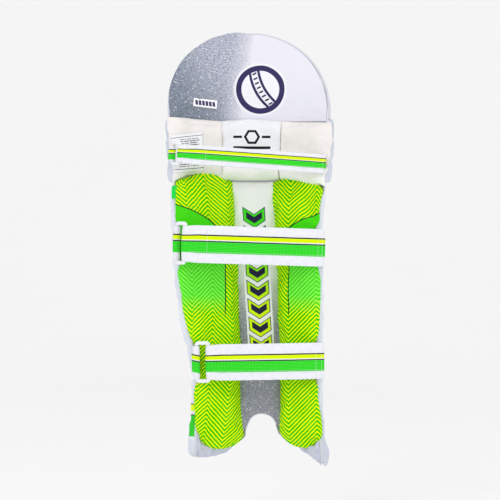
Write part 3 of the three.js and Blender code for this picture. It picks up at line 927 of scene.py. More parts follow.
# ---- Materials of this pad ----
LINING = coated_white("lining_white", srgb(236, 236, 244), srgb(206, 208, 222))
HAT_WHITE = coated_white("hat_white", srgb(238, 238, 246), srgb(214, 216, 230))
# Painted shade: the wings' white is duller than the lining's and deepens low on the pad.
WING_SHADED_WHITE = coated_white("wing_white_painted_shade", srgb(226, 229, 240), srgb(196, 202, 216), low_shade_share=0.9)
# Painted shade on the knee rolls' ends, where they curve away round the sides.
ROLL_WHITE_SHADED_ENDS = coated_white("roll_white_painted_end_shade", srgb(232, 235, 243), srgb(190, 197, 214), end_shade_share=0.65)
# Painted shade: the boot cups' white is dimmed, as they lie under the bolsters.
CUP_SHADED_WHITE = coated_white("cup_white_painted_shade", srgb(200, 202, 220), srgb(164, 168, 190))
FACE_WHITE = front_white("face_white")
# Painted light: the cradle rolls' white is brighter than the knee panels', against the shade on their
# downward-facing fronts.
CRADLE_LIT_WHITE = soft_lining("cradle_white_painted_light", srgb(252, 252, 248), srgb(244, 246, 240))
KNEE_CREAM = soft_lining("knee_cream", srgb(242, 237, 234), srgb(232, 227, 225))
KNEE_CENTRE = knee_centre("knee_centre_white")
KNEE_FACES = {
    "knee_locator_centre": KNEE_CENTRE, "knee_cradle_centre": CRADLE_LIT_WHITE, "knee_cradle_inner": CRADLE_LIT_WHITE,
}
STRAP_WHITE = brushed_strap("strap_white")
WEBBING = green_webbing("tab_green")
HOOKS = hook_tape("hook_white")
PLASTIC = ring_plastic("ring_white")
WHITE_THREAD = thread("thread_white", srgb(244, 244, 248))
TAN_THREAD = thread("thread_tan", srgb(228, 210, 190))
PALE_PIPE = thread("piping_pale", srgb(226, 228, 238))
CANE_WOOD = plain_grained("cane_wood", srgb(220, 182, 122), srgb(190, 146, 88), 3.0, 0.55, 14.0)
IMPACT_DARK = plain_grained("impact_dark", srgb(62, 64, 70), srgb(44, 46, 52), 2.0, 0.5)

# ---- Shin: lining, wings, ribs and instep ----
INSTEP_HEIGHT, INSTEP_THICK = 26, 8
RIB_THICK, RIB_SEAM = 17, 0.004  # the seam is half the gap between two ribs, in radians
SIDE_WING_FOOT = -372
WING_START = math.radians(RIB_SPREAD) + 0.02
WING_OVERLAP = math.radians(1.5)  # how far a wing reaches round the rear edge
CORNER_TURN, CORNER_SHARE = math.radians(83), 0.15  # where a wing's lower corner ends, and how much is round
OUTER_CORNER, INNER_CORNER = 6, -1


def shin_area(angles, heights):
    """Maps u, v to an angle round the shin and a height, between the lower edge and a top."""
    def at(u, v):
        rough = mix(*heights(0.0, 0.0), v)
        angle = mix(*angles(rough), u)
        low, high = heights(on_shell(angle, rough, 0)[..., 0], angle)
        return angle, mix(low, high, v)
    return at


def even(thick):
    """The same thickness all over."""
    return lambda u, v: thick + 0 * u


def over_board(area):
    """Places points on the batting side of the shin board."""
    def place(u, v, out):
        angle, z = area(u, v)
        return on_shell(angle, z, core_out(angle, z) + out)
    return place


def corner_lift(angle):
    """How far a wing's lower corner is rounded up towards its rear edge; the inner one is a lower point."""
    past = (np.abs(angle) / CORNER_TURN - (1 - CORNER_SHARE)) / CORNER_SHARE
    return mix(OUTER_CORNER, INNER_CORNER, np.asarray(angle) > 0) * np.clip(past, 0, 1) ** 2.4


lining_area = shin_area(
    lambda z: (-turn_at(z) * 0.985, turn_at(z) * 0.985),
    lambda x, a: (lower_edge(x) + 3 + corner_lift(a), shin_top(a) + 1),
)


def lining_place(u, v, out):
    angle, z = lining_area(u, v)
    return on_shell(angle, z, out * core_out(angle, z) * 0.9)


piece(
    pillow("shin_lining", lining_place, even(-0.04), 70, 70, base=1.0),
    LINING, "white_face", "shin", ["shin_core"], fill=0.9, folds=[(0.5, (40, 40, 60), 3)],
)

for i in range(RIB_COUNT):
    a0, a1 = (math.radians(mix(-RIB_SPREAD, RIB_SPREAD, (i + k) / RIB_COUNT)) for k in (0, 1))
    area = shin_area(
        lambda z: (a0 + RIB_SEAM, a1 - RIB_SEAM),
        lambda x, a: (lower_edge(x) + INSTEP_HEIGHT + 1, shin_top(a) - 1.5),
    )
    rib = pillow(
        f"rib_cover_{i + 1}", over_board(area),
        lambda u, v: mix(1.5, RIB_THICK, crown(u, 2.3) * crown(mix(0.01, 0.99, v), 16)),
        10, 72, base=0.5,
    )
    piece(
        rib, FACE_WHITE, "white_face", "shin", [f"shin_rib_{i + 1}"], fill=0.9, cloth=(0.03, 3.0, 2.5),
        folds=[(0.5, (9, 9, 30), 11 + i)],
    )

instep_area = shin_area(
    lambda z: (-math.radians(RIB_SPREAD), math.radians(RIB_SPREAD)),
    lambda x, a: (lower_edge(x) - 0.5, lower_edge(x) + INSTEP_HEIGHT),
)
instep = pillow(
    "instep_cover", over_board(instep_area),
    lambda u, v: mix(1.5, INSTEP_THICK, crown(v, 2.6) * crown(u, 20)), 90, 10, base=0.4,
)
piece(
    instep, FACE_WHITE, "white_face", "shin", ["instep_guard"], fill=0.8, cloth=(0.03, 3.0, 2.5),
    folds=[(0.5, 12, 23)],
)


def wing(name, side, thick, heights, replaced, nv, material):
    """A side wing, thickest near its rear edge. thick is its thickness at each height."""
    area = shin_area(lambda z: (side * WING_START, side * (turn_at(z) + WING_OVERLAP)), heights)

    def rise(u, v):
        _, z = area(u, v)
        roll = 0.7 + 0.3 * near(u - 0.9, 0.1)
        return 1.2 + curve_through(thick, z) * roll * crown(mix(0.1, 1.0, u), 9) * crown(v, 24)

    piece(
        pillow(name, over_board(area), rise, 16, nv, base=-0.5),
        material, "white_face", "shin", replaced, fill=0.8, cloth=(0.035, 3.0, 2.5),
        folds=[(0.7, (14, 14, 22), 31), (0.35, (6, 6, 10), 37)],
    )


wing(
    "side_wing_cover", -1, [(-372, 9), (-300, 10.5), (-200, 10.5), (-125, 8.5), (-60, 6)],
    lambda x, a: (SIDE_WING_FOOT, shin_top(a)), ["side_wing"], 80, WING_SHADED_WHITE,
)
wing(
    "ankle_wing_cover", -1, [(-505, 10.5), (-430, 11), (-372, 9.5)],
    lambda x, a: (lower_edge(x) + corner_lift(a), SIDE_WING_FOOT - 0.5),
    ["outer_ankle_wing"], 34, FACE_WHITE,
)
wing(
    "inner_wing_cover", 1, [(-520, 9), (-500, 12), (-470, 8.5), (-400, 9), (-214, 9), (-125, 8.5), (-60, 3)],
    lambda x, a: (lower_edge(x) + corner_lift(a) - 7, shin_top(a)),
    ["inner_wing"], 110, WING_SHADED_WHITE,
)


def rounded_path(points, times=2):
    """The same line with its corners cut, as many times as asked."""
    for _ in range(times):
        a, b = points[:-1], points[1:]
        cut = np.stack([a * 0.75 + b * 0.25, a * 0.25 + b * 0.75], 1).reshape(-1, 3)
        points = np.concatenate([points[:1], cut, points[-1:]])
    return points


# Round piping runs down one rear edge, along the lower edge and up the other rear edge.
bottom_x = np.linspace(-84, 114, 90)
bottom_z = lower_edge(bottom_x) + 2
bottom_angle = angle_at(bottom_x, bottom_z)
rear_z = np.linspace(-60, -499, 90)
edge_line = np.concatenate([
    on_shell(-turn_at(rear_z), rear_z, 1.8),
    on_shell(bottom_angle, bottom_z + corner_lift(bottom_angle), 2.6),
    on_shell(turn_at(rear_z), rear_z - 12, 1.8)[::-1],
])
piece(
    tube("edge_piping", resample(rounded_path(resample(edge_line, 5.0)), 2.5), 2.5),
    PALE_PIPE, "white_face", "shin",
)

# ---- Bolsters ----
# Each one's sides and thickness, its two rounded ends, how far it hangs over the shell's rear edge at each
# height, and where the row of stitches crosses the boot cup below it.
BOLSTERS = {
    "outer": dict(
        side=-1, thick=25,
        left=[(-491, -87), (-440, -91), (-380, -91), (-313, -95), (-262, -108), (-193, -116), (-40, -120)],
        right=[(-491, -7), (-410, -15), (-312, -16), (-189, -20), (-40, -30)],
        low=(-491, 0.5, (48, 5.4), (24, 2.8)),
        high=(-38, 0.45, (-16, 2.2), (-14, 2.2)),
        hang=[
            (-480, -2), (-440, 5.5), (-400, 9), (-350, 7), (-313, 3), (-280, 4.5), (-214, 5.5), (-125, 3),
            (-60, -2),
        ],
        cup_seam=0.33,
    ),
    "inner": dict(
        side=1, thick=24,
        left=[(-489, 46), (-410, 50), (-312, 48), (-189, 44), (-49, 37)],
        right=[(-489, 120), (-410, 115), (-370, 111), (-312, 113), (-235, 117), (-98, 116), (-49, 120)],
        low=(-489, 0.65, (30, 2.4), (15, 3)),
        high=(-47, 0.45, (-5, 2), (-18, 2.6)),
        hang=[
            (-489, 2), (-455, 6), (-400, 2.5), (-360, 1), (-310, 2), (-280, 5), (-214, 8), (-125, 5),
            (-60, -1),
        ],
        cup_seam=0.69,
    ),
}
BOLSTER_WIDTH = 90  # roughly, for how far a point is from the free side
SHELL_MARGIN = 0.3
STRAP_ROWS = (-157, -345)  # heights of the straps, which press the padding flat
STRAP_PRESS = 33  # how far above and below its middle a strap does that
FREE_SIDE = 9  # how wide the lip at a free side is
LIP_FRONT = 3.5  # how far in front of the shell's rear edge it lies
CHEVRONS = {
    "outer": chevron_cloth(
        "chevrons_outer", (-110.0, -76.0, -42.0), 13.0, -1, (-41.4, 77.6, -187.0, -91.0, 3.6),
    ),
    "inner": chevron_cloth("chevrons_inner", (65.5, 111.0), -1.5, 1, (64.5, 45.5, -132.0, -106.0, 1.5)),
}


def rounded_end(end, u):
    """The height of a rounded end: its tip's height and place, then the fall and roundness of each side."""
    z, at, left, right = end
    first = u < at
    share = np.where(first, (at - u) / at, (u - at) / (1 - at))
    return z + np.where(first, left[0], right[0]) * share ** np.where(first, left[1], right[1])


def leg_side(plan):
    """Places points on the leg side of the board, from plan(u, v) giving x and z."""
    def place(u, v, out):
        x, z = plan(u, v)
        return on_shell(angle_at(x, z), z, -out)
    return place


def hang_over(x, z, gap, out, side, reach, kept=1.0):
    """Points out from the shell. At a free side they lie forward of its rear edge, and past it by reach."""
    padding = on_shell(angle_at(x, z), z, -out)
    edge = on_shell(side * turn_at(z), z, 0)
    pressed = sum(np.exp(-(((z - row) / STRAP_PRESS) ** 6)) for row in STRAP_ROWS)
    share = kept * near(gap, FREE_SIDE) * (1 - 0.9 * pressed)
    lip_x = edge[..., 0] + side * reach * np.clip(out / 4, 0.3, 1)
    over = stacked(lip_x, edge[..., 1] - LIP_FRONT - 0.5 * out, z)
    return mix(padding, over, share[..., None])


def bolster(name, shape):
    side = shape["side"]

    def plan(u, v):
        z = mix(rounded_end(shape["low"], u), rounded_end(shape["high"], u), v)
        left, right = curve_through(shape["left"], z), curve_through(shape["right"], z)
        if side < 0:
            left = np.maximum(left, edge_x(side, z) + SHELL_MARGIN)
        else:
            right = np.minimum(right, edge_x(side, z) - SHELL_MARGIN)
        return mix(left, right, u), z

    def place(u, v, out):
        """The inner bolster doesn't hang over at its lower corner."""
        x, z = plan(u, v)
        gap = (u if side < 0 else 1 - u) * BOLSTER_WIDTH
        kept = 1.0 if side < 0 else smooth(-486, -466, z)
        return hang_over(x, z, gap, out, side, curve_through(shape["hang"], z), kept)

    def rise(u, v):
        """The side at the channel is the steeper one."""
        squareness = np.where((u - 0.5) * side < 0, 3.6, 2.6)
        return mix(2.0, shape["thick"], crown(u, squareness) * crown(v, 14))

    def print_plan(u, v):
        """The print hardly narrows where the bolster curves away."""
        front = place(u, v, 0.3 + rise(u, v))
        return mix(front[..., 0], wrapped(front)[0], 0.3), front[..., 2]

    piece(
        pillow(f"bolster_{name}_cover", place, rise, 26, 116, base=0.3, ease=0.5, flat=print_plan),
        CHEVRONS[name], "chevron_fabric", "shin", [f"bolster_{name}"], fill=0.85, cloth=(0.04, 3.0, 3.5),
        folds=[(0.9, (26, 26, 40), 51), (0.3, (7, 7, 9), 57)],
    )


for name, shape in BOLSTERS.items():
    bolster(name, shape)

# ---- Channel and boot cups ----
CHANNEL_FOOT, CHANNEL_TOP = -440, KNEE_LINE - 1
UNDER_BOLSTER = 6  # how far the channel reaches under each bolster


def channel_plan(u, v):
    rough = mix(CHANNEL_FOOT, CHANNEL_TOP, v)
    left = curve_through(BOLSTERS["outer"]["right"], rough) - UNDER_BOLSTER
    x = mix(left, curve_through(BOLSTERS["inner"]["left"], rough) + UNDER_BOLSTER, u)
    return x, mix(lower_edge(x) + 1, CHANNEL_TOP, v)


channel = pillow(
    "channel_cover", leg_side(channel_plan), lambda u, v: mix(1.2, 7.7, crown(u, 4) * crown(v, 30)), 22, 110,
    base=0.2,
)
piece(
    channel, channel_print("channel_print"), "grey_print", "shin", ["channel_liner"], fill=0.6,
    cloth=(0.02, 2.0, 2.0), folds=[(0.5, (18, 18, 30), 61)],
)


def boot_cup(name, shape):
    """The padded lining of a wing, from the bolster's foot down to the lower edge."""
    seam = shape["cup_seam"]

    def plan(u, v):
        high = rounded_end(shape["low"], u) + 8
        x = mix(curve_through(shape["left"], high) - 5, curve_through(shape["right"], high) + 4, u)
        low = lower_edge(x) + corner_lift(angle_at(x, high))
        return x, mix(np.minimum(low + 1, high - 3), high, v)

    def rise(u, v):
        """Two puffed halves, either side of a row of stitching."""
        dip = 1 - 0.85 * near(u - seam, 0.03)
        return 1.0 + 9.5 * crown(u, 4) * crown(v, 2.2) * dip

    place = leg_side(plan)
    v = np.linspace(0.08, 0.92, 30)
    u = seam + 0 * v
    seam_row = place(u, v, 1.2 + rise(u, v))
    piece(stitches(f"boot_cup_{name}_seam", [seam_row], 2.2, 1.2, 0.4), WHITE_THREAD, None, "shin")
    piece(
        pillow(f"boot_cup_{name}_cover", place, rise, 44, 20, base=0.2),
        CUP_SHADED_WHITE, "white_face", "shin", [f"boot_cup_{name}"], fill=0.6, cloth=(0.06, 3.0, 3.0),
        folds=[(1.2, (9, 9, 14), 71, True), (0.5, 5, 73)],
    )


for name, shape in BOLSTERS.items():
    boot_cup(name, shape)

# ---- Knee ----
KNEE_BOARD = 6
KNEE_TOP = SEAM_Z - 1.0
TUCK = [(-56, 4.5), (-21, 5.5), (0, 4), (38, 1)]  # how far the rolls' ends are drawn in, at each height


def tuck(u, z, width):
    """How far the rolls are drawn in at u, within this share of their length from either end."""
    return curve_through(TUCK, z) * near(np.minimum(u, 1 - u), width)


def knee_band(low, high):
    """Places points of a roll that lies across the knee."""
    def place(u, v, out):
        z = mix(low, high, v)
        return on_shell(mix(-turn_at(z), turn_at(z), u), z, out - tuck(u, z, 0.07))
    return place


def backing_place(u, v, out):
    """The knee's backing reaches under the shin's top edge, so that no gap opens as the knee bends."""
    low = shin_top((2 * u - 1) * turn_at(KNEE_LINE)) - 2
    z = mix(low, KNEE_TOP + 2, v)
    inset = 0.6 * tuck(u, z, 0.05) * np.clip(out / KNEE_BOARD, 0, 1)
    return on_shell(mix(-turn_at(z), turn_at(z), u), z, out - inset)


def roll_rise(thick, square):
    """A round roll whose ends are flatter, and sewn to the next roll's high up."""
    def rise(u, v):
        ends = near(np.minimum(u, 1 - u), 0.12)
        return mix(2.0, thick, crown(u, square) * mix(crown(v, 2.1), mix(0.72, 1, crown(v, 5)), ends))
    return rise


piece(
    pillow("knee_backing", backing_place, even(KNEE_BOARD), 60, 24, base=0.3),
    LINING, "white_face", KNEE_BEND, ["knee_core"], fill=0.9,
)
# Each roll's bottom and top, thickness, and how square its ends are.
KNEE_ROLLS = {
    "lower": (KNEE_LINE - 4, -19.6, 26, 2.4),
    "middle": (-19.4, 16.4, 29, 2.6),
    "upper": (16.6, KNEE_TOP, 27, 3.4),
}
for k, (name, (low, high, thick, square)) in enumerate(KNEE_ROLLS.items()):
    roll = pillow(
        f"knee_roll_{name}_cover", knee_band(low, high), roll_rise(thick, square), 90, 16,
        base=KNEE_BOARD + 0.4,
    )
    piece(
        roll, ROLL_WHITE_SHADED_ENDS, "white_face", KNEE_BEND if name == "lower" else "knee", [f"knee_roll_{name}"],
        fill=0.9, cloth=(0.04, 3.0, 3.0), folds=[(0.8, (22, 22, 12), 81 + k), (0.3, 7, 91 + k)],
    )

# Each locator panel or cradle roll: its sides, top and bottom, thickness, how far each side comes in at the
# bottom, how square it is from top to bottom, and which of its sides are sewn to a neighbour.
LOCATORS = [
    (
        "knee_locator_outer", (-132, -47.6), lambda u: 55 - 6 * u,
        lambda u: -42 - np.where(u < 0.45, 22, 12) * np.abs(2 * u - 0.9) ** 2.2, 17, (1, 0), 4.5, (0, 1),
    ),
    (
        "knee_locator_centre", (-48.6, 54.8), lambda u: 48 + 16 * u * (1 - u) - u, lambda u: -23 + 0 * u,
        16, (0, 3), 4.5, (1, 1),
    ),
    (
        "knee_locator_inner", (53.8, 132), lambda u: 48 - 3 * u, lambda u: -27 - 5 * u,
        17, (-3, 8), 4.5, (1, 0),
    ),
    (
        "knee_cradle_centre", (-49.6, 51.6), lambda u: -22 + 0 * u, lambda u: -49.5 + 0 * u,
        21, (0, 0), 2.1, (1, 1),
    ),
    (
        "knee_cradle_inner", (51.2, 124), lambda u: -28 + 0 * u, lambda u: -50 - 10 * u**1.5,
        19, (0, 1), 2.1, (1, 0),
    ),
]
SEWN_GAP, FREE_ROUND = 3.0, 14  # how wide the dip at a sewn side and the rounding at a free side are


def locator_plan(sides, top, bottom, narrow):
    """A panel's x and z on the leg side."""
    def plan(u, v):
        z = mix(bottom(u), top(u), v)
        return mix(sides[0] + narrow[0] * (1 - v), sides[1] - narrow[1] * (1 - v), u), z
    return plan


def locator_rise(u, v, width, thick, square, sewn):
    """A free side is rounded off; a sewn one only dips to its row of stitching."""
    full = crown(v, square) * np.ones_like(u)
    for gap, seam in ((u * width, sewn[0]), ((1 - u) * width, sewn[1])):
        dip = 1 - 0.13 * near(gap, SEWN_GAP)
        round_off = np.sqrt(np.clip(1 - np.clip(1 - gap / FREE_ROUND, 0, 1) ** 2, 0, 1))
        full = full * (dip if seam else round_off)
    return mix(1.6, thick, full)


def locator_place(index):
    """Places points on a panel. A free side hangs over the knee's rear edge, its top over the hat's foot."""
    _, sides, top, bottom, _, narrow, _, sewn = LOCATORS[index]
    plan = locator_plan(sides, top, bottom, narrow)
    width = sides[1] - sides[0]

    def place(u, v, out):
        x, z = plan(u, v)
        x = np.clip(x, edge_x(-1, z) + SHELL_MARGIN + 2 * u, edge_x(1, z) - SHELL_MARGIN - 2 * (1 - u))
        out = out + 7 * smooth(43, 55, z)
        if not sewn[0]:
            return hang_over(x, z, u * width, out, -1, mix(4, 8, smooth(-40, 45, z)))
        if not sewn[1]:
            return hang_over(x, z, (1 - u) * width, out, 1, mix(2, 7, smooth(-45, 25, z)))
        return on_shell(angle_at(x, z), z, -out)
    return place


for k, (name, sides, top, bottom, thick, narrow, square, sewn) in enumerate(LOCATORS):
    pad = pillow(
        f"{name}_cover", locator_place(k),
        lambda u, v: locator_rise(u, v, sides[1] - sides[0], thick, square, sewn),
        30, 30 if square > 3 else 14, base=0.3,
    )
    piece(
        pad, KNEE_FACES.get(name, KNEE_CREAM), "knee_fabric", KNEE_BEND, [name], fill=0.8,
        cloth=(0.03, 2.0, 2.5), folds=[(0.9, (24, 24, 16), 101 + k), (0.3, 8, 111 + k)],
    )


def on_pad(index, u, v, lift):
    """A point on the front of one of the panels."""
    _, sides, _, _, thick, _, square, sewn = LOCATORS[index]
    u, v = np.broadcast_arrays(np.asarray(u, float), np.asarray(v, float))
    out = 0.3 + locator_rise(u, v, sides[1] - sides[0], thick, square, sewn)
    return locator_place(index)(u, v, out + lift)


# Rows of tan stitching where the panels meet.
rows = [
    on_pad(index, u, np.linspace(0.95, 0.06, 40), 0.5) for index, u in ((0, 0.997), (2, 0.003), (4, 0.003))
]
piece(stitches("knee_seam_rows", rows, 2.6, 1.2, 0.45), TAN_THREAD, None, KNEE_BEND)

# The care label, sewn to the outer panel.
LABEL_SIZE = (67, 66)  # its width is taken along the panel, which curves away under its outer side
LABEL_SIDES = (-129, -78)
LABEL_BOTTOM, LABEL_TOP = (-39, -34), (23, 30)  # at its left and at its right
LABEL_CLEAR = 60


def sheet_plan(size):
    """The print's coordinates on a sheet of this size, from its middle."""
    return lambda u, v: ((u - 0.5) * size[0], (v - 0.5) * size[1])


def label_place(u, v, out):
    """It is sewn a little askew, and stands clear of the panel until it is laid on it."""
    x = mix(*LABEL_SIDES, u) + 2.5 * (1 - v)
    z = mix(mix(*LABEL_BOTTOM, u), mix(*LABEL_TOP, u), v)
    return stacked(x, -out - LABEL_CLEAR, z)


def lay_on(obj, under, gap):
    """Lays a thin sheet, which faces the leg, on the front of a pad."""
    polygons = [tuple(p.vertices) for p in under.data.polygons]
    tree = BVHTree.FromPolygons([Vector(c) for c in points_of(under)], polygons)
    co = points_of(obj)
    back = co[:, 1].max()
    reached = []
    for x, _, z in co:
        hit = tree.ray_cast(Vector((x, -1.0, z)), Vector((0, 1, 0)))[0]
        reached.append(hit.y if hit else np.nan)
    reached = np.array(reached)
    reached[np.isnan(reached)] = np.nanmax(reached)
    lift = 0.5 * (1 + noise(co / MM, (26, 26, 20), 7))
    co[:, 1] += reached - back - (gap + lift) * MM
    set_points(obj, co)


label = pillow("care_label", label_place, even(0.35), 24, 30, flat=sheet_plan(LABEL_SIZE))
piece(label, care_print("care_print", *LABEL_SIZE), None, KNEE_BEND)

# ---- Top hat ----
HAT = dict(face=15, liner=10, half=128, taller=2)  # thicknesses, half width, and how far its top is raised
HAT_FOOT = SEAM_Z + 1


def hat_row(v, trim, u):
    """The height of a row and its half width. The inner shoulder (u = 1) slopes more than the outer one."""
    share = np.sin(v * np.pi / 2 * 0.985)
    fall, roundness = mix(2.5, 2.4, u), mix(2.15, 2.05, u)
    half = (HAT["half"] - trim) * (1 - (share * 0.995) ** fall) ** (1 / roundness)
    return HAT_FOOT + (TOP_Z - HAT_FOOT - trim) * share, half


def hat_place(u, v, out, trim=0):
    """Its lowest rows reach a little below the hinge line."""
    z, half = hat_row(v, trim, u)
    z = z - 6 * (1 - v) ** 7 + HAT["taller"] * v**2
    return on_shell(angle_at(shell_value(X, z) + mix(-half, half, u), z), z, out)


def channels(u, count):
    """Dents along the stitched lines that divide the face into channels."""
    t = np.abs((u * count) % 1 - 0.5) * 2
    return 1 - 0.42 * smooth(0.86, 1.0, t) * (u > 0.5 / count) * (u < 1 - 0.5 / count)


def liner_place(u, v, out):
    """Its outer side covers the binding, and its inner side stops short of it."""
    trim = mix(-5.5, -2.2, smooth(0.1, 0.9, u)) * smooth(0, 0.1, v)
    points = hat_place(u, v, -out, trim)
    points[..., 0] -= 3.2 * (1 - smooth(0, 0.14, u)) * smooth(1, 0.7, v)
    return points


hat_liner = pillow(
    "hat_liner_cover", liner_place,
    lambda u, v: 1.8 + (HAT["liner"] - 1.0) * crown(u, 5) * crown(mix(0, 0.95, v), 5), 64, 50, base=0.6,
)
piece(
    hat_liner, hat_print("hat_print"), "grey_print", HAT_BEND, ["top_hat_liner"], fill=0.7,
    cloth=(0.012, 2.0, 2.5), folds=[(0.7, 45, 121)],
)


def hat_face_rise(u, v):
    """Foam and padded channels, thin at the binding."""
    edge = smooth(0, 0.07, np.minimum(u, 1 - u)) * smooth(1.0, 0.93, v)
    padding = (HAT["face"] - 1.8) * crown(u, 2.4) * crown(mix(0, 0.94, v), 2.4) * channels(u, 6)
    return 2.4 + 6.9 * edge + padding * mix(0.5, 1, edge)


piece(
    pillow("hat_face_cover", hat_place, hat_face_rise, 96, 40),
    HAT_WHITE, "white_face", HAT_BEND, ["top_hat_face", "top_hat_foam"], fill=0.8,
    cloth=(0.02, 2.0, 2.0), folds=[(0.5, 14, 131)],
)

# The binding, round the hat from one foot over the top to the other.
BINDING_GROW = 2.4  # how far it stands outside the panels
t = np.linspace(-1, 1, 120)
row_z, row_half = hat_row(1 - np.abs(t), -0.5, (1 + np.clip(t * 6, -1, 1)) / 2)
row_x = shell_value(X, row_z) + np.sign(t) * row_half
foot, head = np.abs(t), 1 - np.abs(t)  # 1 at the feet, and 1 at the top
wider = np.sign(t) * BINDING_GROW * (1 - head**3)
taller = (BINDING_GROW + HAT["taller"]) * head - 2 * foot**8
binding_line = on_shell(angle_at(row_x, row_z), row_z, 1.6) + stacked(wider, 0, taller)
piece(
    tube("hat_binding_cover", resample(binding_line, 2.5), 2.2),
    PALE_PIPE, "white_face", HAT_BEND, ["top_hat_binding"],
)

TAG_SIZE = (42, 14)
TAG_X, TAG_Z, TAG_TILT = -77, 77, math.radians(-6)
TAG_CLEAR = 2  # how far it stands out from the liner's foam


def tag_place(u, v, out):
    x, z = turned(*sheet_plan(TAG_SIZE)(u, v), TAG_TILT)
    x, z = TAG_X + x, TAG_Z + z
    return on_shell(angle_at(x, z), z, -(HAT["liner"] + TAG_CLEAR + out))


tag = pillow("hat_name_tag", tag_place, even(0.5), 16, 8, flat=sheet_plan(TAG_SIZE))
piece(tag, name_print("name_print"), None, HAT_BEND)

# ---- Side tab: a folded piece of webbing ----
tab_low, tab_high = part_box("side_tab")
TAB_Z = (tab_low.z + tab_high.z) / 2 / MM


def folded_tab():
    """The fold is at the outer side, and both ends are sewn in beside the bolster."""
    x0, x1 = tab_low.x / MM, tab_high.x / MM + 0.5
    middle, r = (tab_low.y + tab_high.y) / 2 / MM, (tab_high.y - tab_low.y) / 2 / MM - 0.5
    bend = arc((x0 + r + 0.8, middle), r, 270, 90, 12)
    return np.concatenate([[(x1, middle - r)], bend, [(x1, middle + r)]])


# ---- Straps ----
STRAP_THICK = 3.4
BAR_R = 2.1
RING_SPAN = 21  # between the middles of the ring's two bars
BAR_CLEAR = 0.4  # between a bar and the strap round it
TAIL_SAG, TAIL_LIFT = 36, 19  # how far a tail bows out, and how far its end lies off the shell's edge
KEEPER_THICK, KEEPER_START = 3.2, 3.5
GATHER = 4.2  # how much of its width a strap loses in its ring
TAPE_OUT = STRAP_THICK / 2 + 0.35  # from the strap's middle to its tape's


def arc(centre, r, start, stop, steps=24):
    a = np.radians(np.linspace(start, stop, steps))
    return np.stack([centre[0] + r * np.cos(a), centre[1] + r * np.sin(a)], -1)


def tilted(points, z, slope):
    """Points of a strap's own plane (x, y, height) in the frame: turned by its slope, at its height."""
    x, y, h = np.moveaxis(np.asarray(points, float), -1, 0)
    x, h = turned(x, h, -math.radians(slope))
    return np.stack([x, y, z + h], -1)


def band(name, line, thick, width, z, slope, shift=0.0, wave=0.25, seed=1, step=2.6, square=6, squeeze=None):
    """A strap along a line in the plan view, standing width tall, with soft edges and a little waviness.

    squeeze is (how far along, over what length, by what share) a ring gathers it.
    """
    line = resample(line, step)
    run = np.concatenate([[0], np.cumsum(np.linalg.norm(np.diff(line, axis=0), axis=1))])
    tangent = np.gradient(line, axis=0)
    tangent /= np.linalg.norm(tangent, axis=1, keepdims=True)
    normal = np.stack([-tangent[:, 1], tangent[:, 0]], -1)
    h = width / 2 * np.sin(np.linspace(-np.pi / 2, np.pi / 2, 19))
    t = thick / 2 * np.sqrt(np.clip(1 - np.abs(2 * h / width) ** square, 0, 1))
    height = np.concatenate([h, h[-2:0:-1]])
    depth = np.concatenate([t, -t[-2:0:-1]])
    ends = np.ones(len(line))
    ends[[0, -1]] = 0.4
    ends[[1, -2]] = 0.85
    grid = stacked(run[:, None], height[None], 0.0)
    ripple = wave * noise(grid, (16, 22, 9), seed)
    edge = 0.5 * wave * noise(np.stack([run, 0 * run, 0 * run], -1), 11, seed + 5)
    out = depth[None] * ends[:, None] + ripple
    points = np.empty((len(line), len(height), 3))
    points[..., 0] = line[:, None, 0] + normal[:, None, 0] * out
    points[..., 1] = line[:, None, 1] + normal[:, None, 1] * out
    tall = 1 + edge / width * 2
    if squeeze:
        tall = tall - squeeze[2] * near(run - squeeze[0], squeeze[1])
    points[..., 2] = (height[None] + shift) * tall[:, None]
    uvs = stacked(run[:, None], height[None])
    return sweep(name, tilted(points, z, slope), uvs)


def smooth_ring(name, keeper, turn, width, z, slope):
    """A moulded ring: two upright bars joined by thick rounded ends."""
    half, r = width / 2 + 1.4, 5.0  # its half height, and the radius of its corners
    a = math.radians(turn)
    corners = [
        (RING_SPAN - r, half - r, 0), (r, half - r, 90), (r, r - half, 180), (RING_SPAN - r, r - half, 270),
    ]
    outline = np.concatenate([arc((cx, cz), r, start, start + 90, 12) for cx, cz, start in corners])
    outline = resample(np.concatenate([outline, outline[:1]]), 1.3)[:-1]
    count = len(outline)
    along = np.roll(outline, -1, 0) - np.roll(outline, 1, 0)
    along /= np.linalg.norm(along, axis=1, keepdims=True)
    across = np.stack([along[:, 1], -along[:, 0]], -1)
    cap = smooth(half - 5.5, half - 2.5, np.abs(outline[:, 1]))
    wide, deep = mix(BAR_R, 3.2, cap), mix(BAR_R, 3.3, cap)
    k = np.linspace(0, 2 * np.pi, 14, endpoint=False)
    c, d = np.cos(k), np.sin(k)
    c, d = np.sign(c) * np.abs(c) ** 0.8, np.sign(d) * np.abs(d) ** 0.8
    rings = np.empty((count, len(k), 3))
    px = outline[:, None, 0] + across[:, None, 0] * wide[:, None] * c
    pz = outline[:, None, 1] + across[:, None, 1] * wide[:, None] * c
    off = deep[:, None] * d
    rings[..., 0] = keeper[0] + px * math.cos(a) + off * math.sin(a)
    rings[..., 1] = keeper[1] - px * math.sin(a) + off * math.cos(a)
    rings[..., 2] = pz + 0.8
    return sweep(name, tilted(rings, z, slope), closed=True)


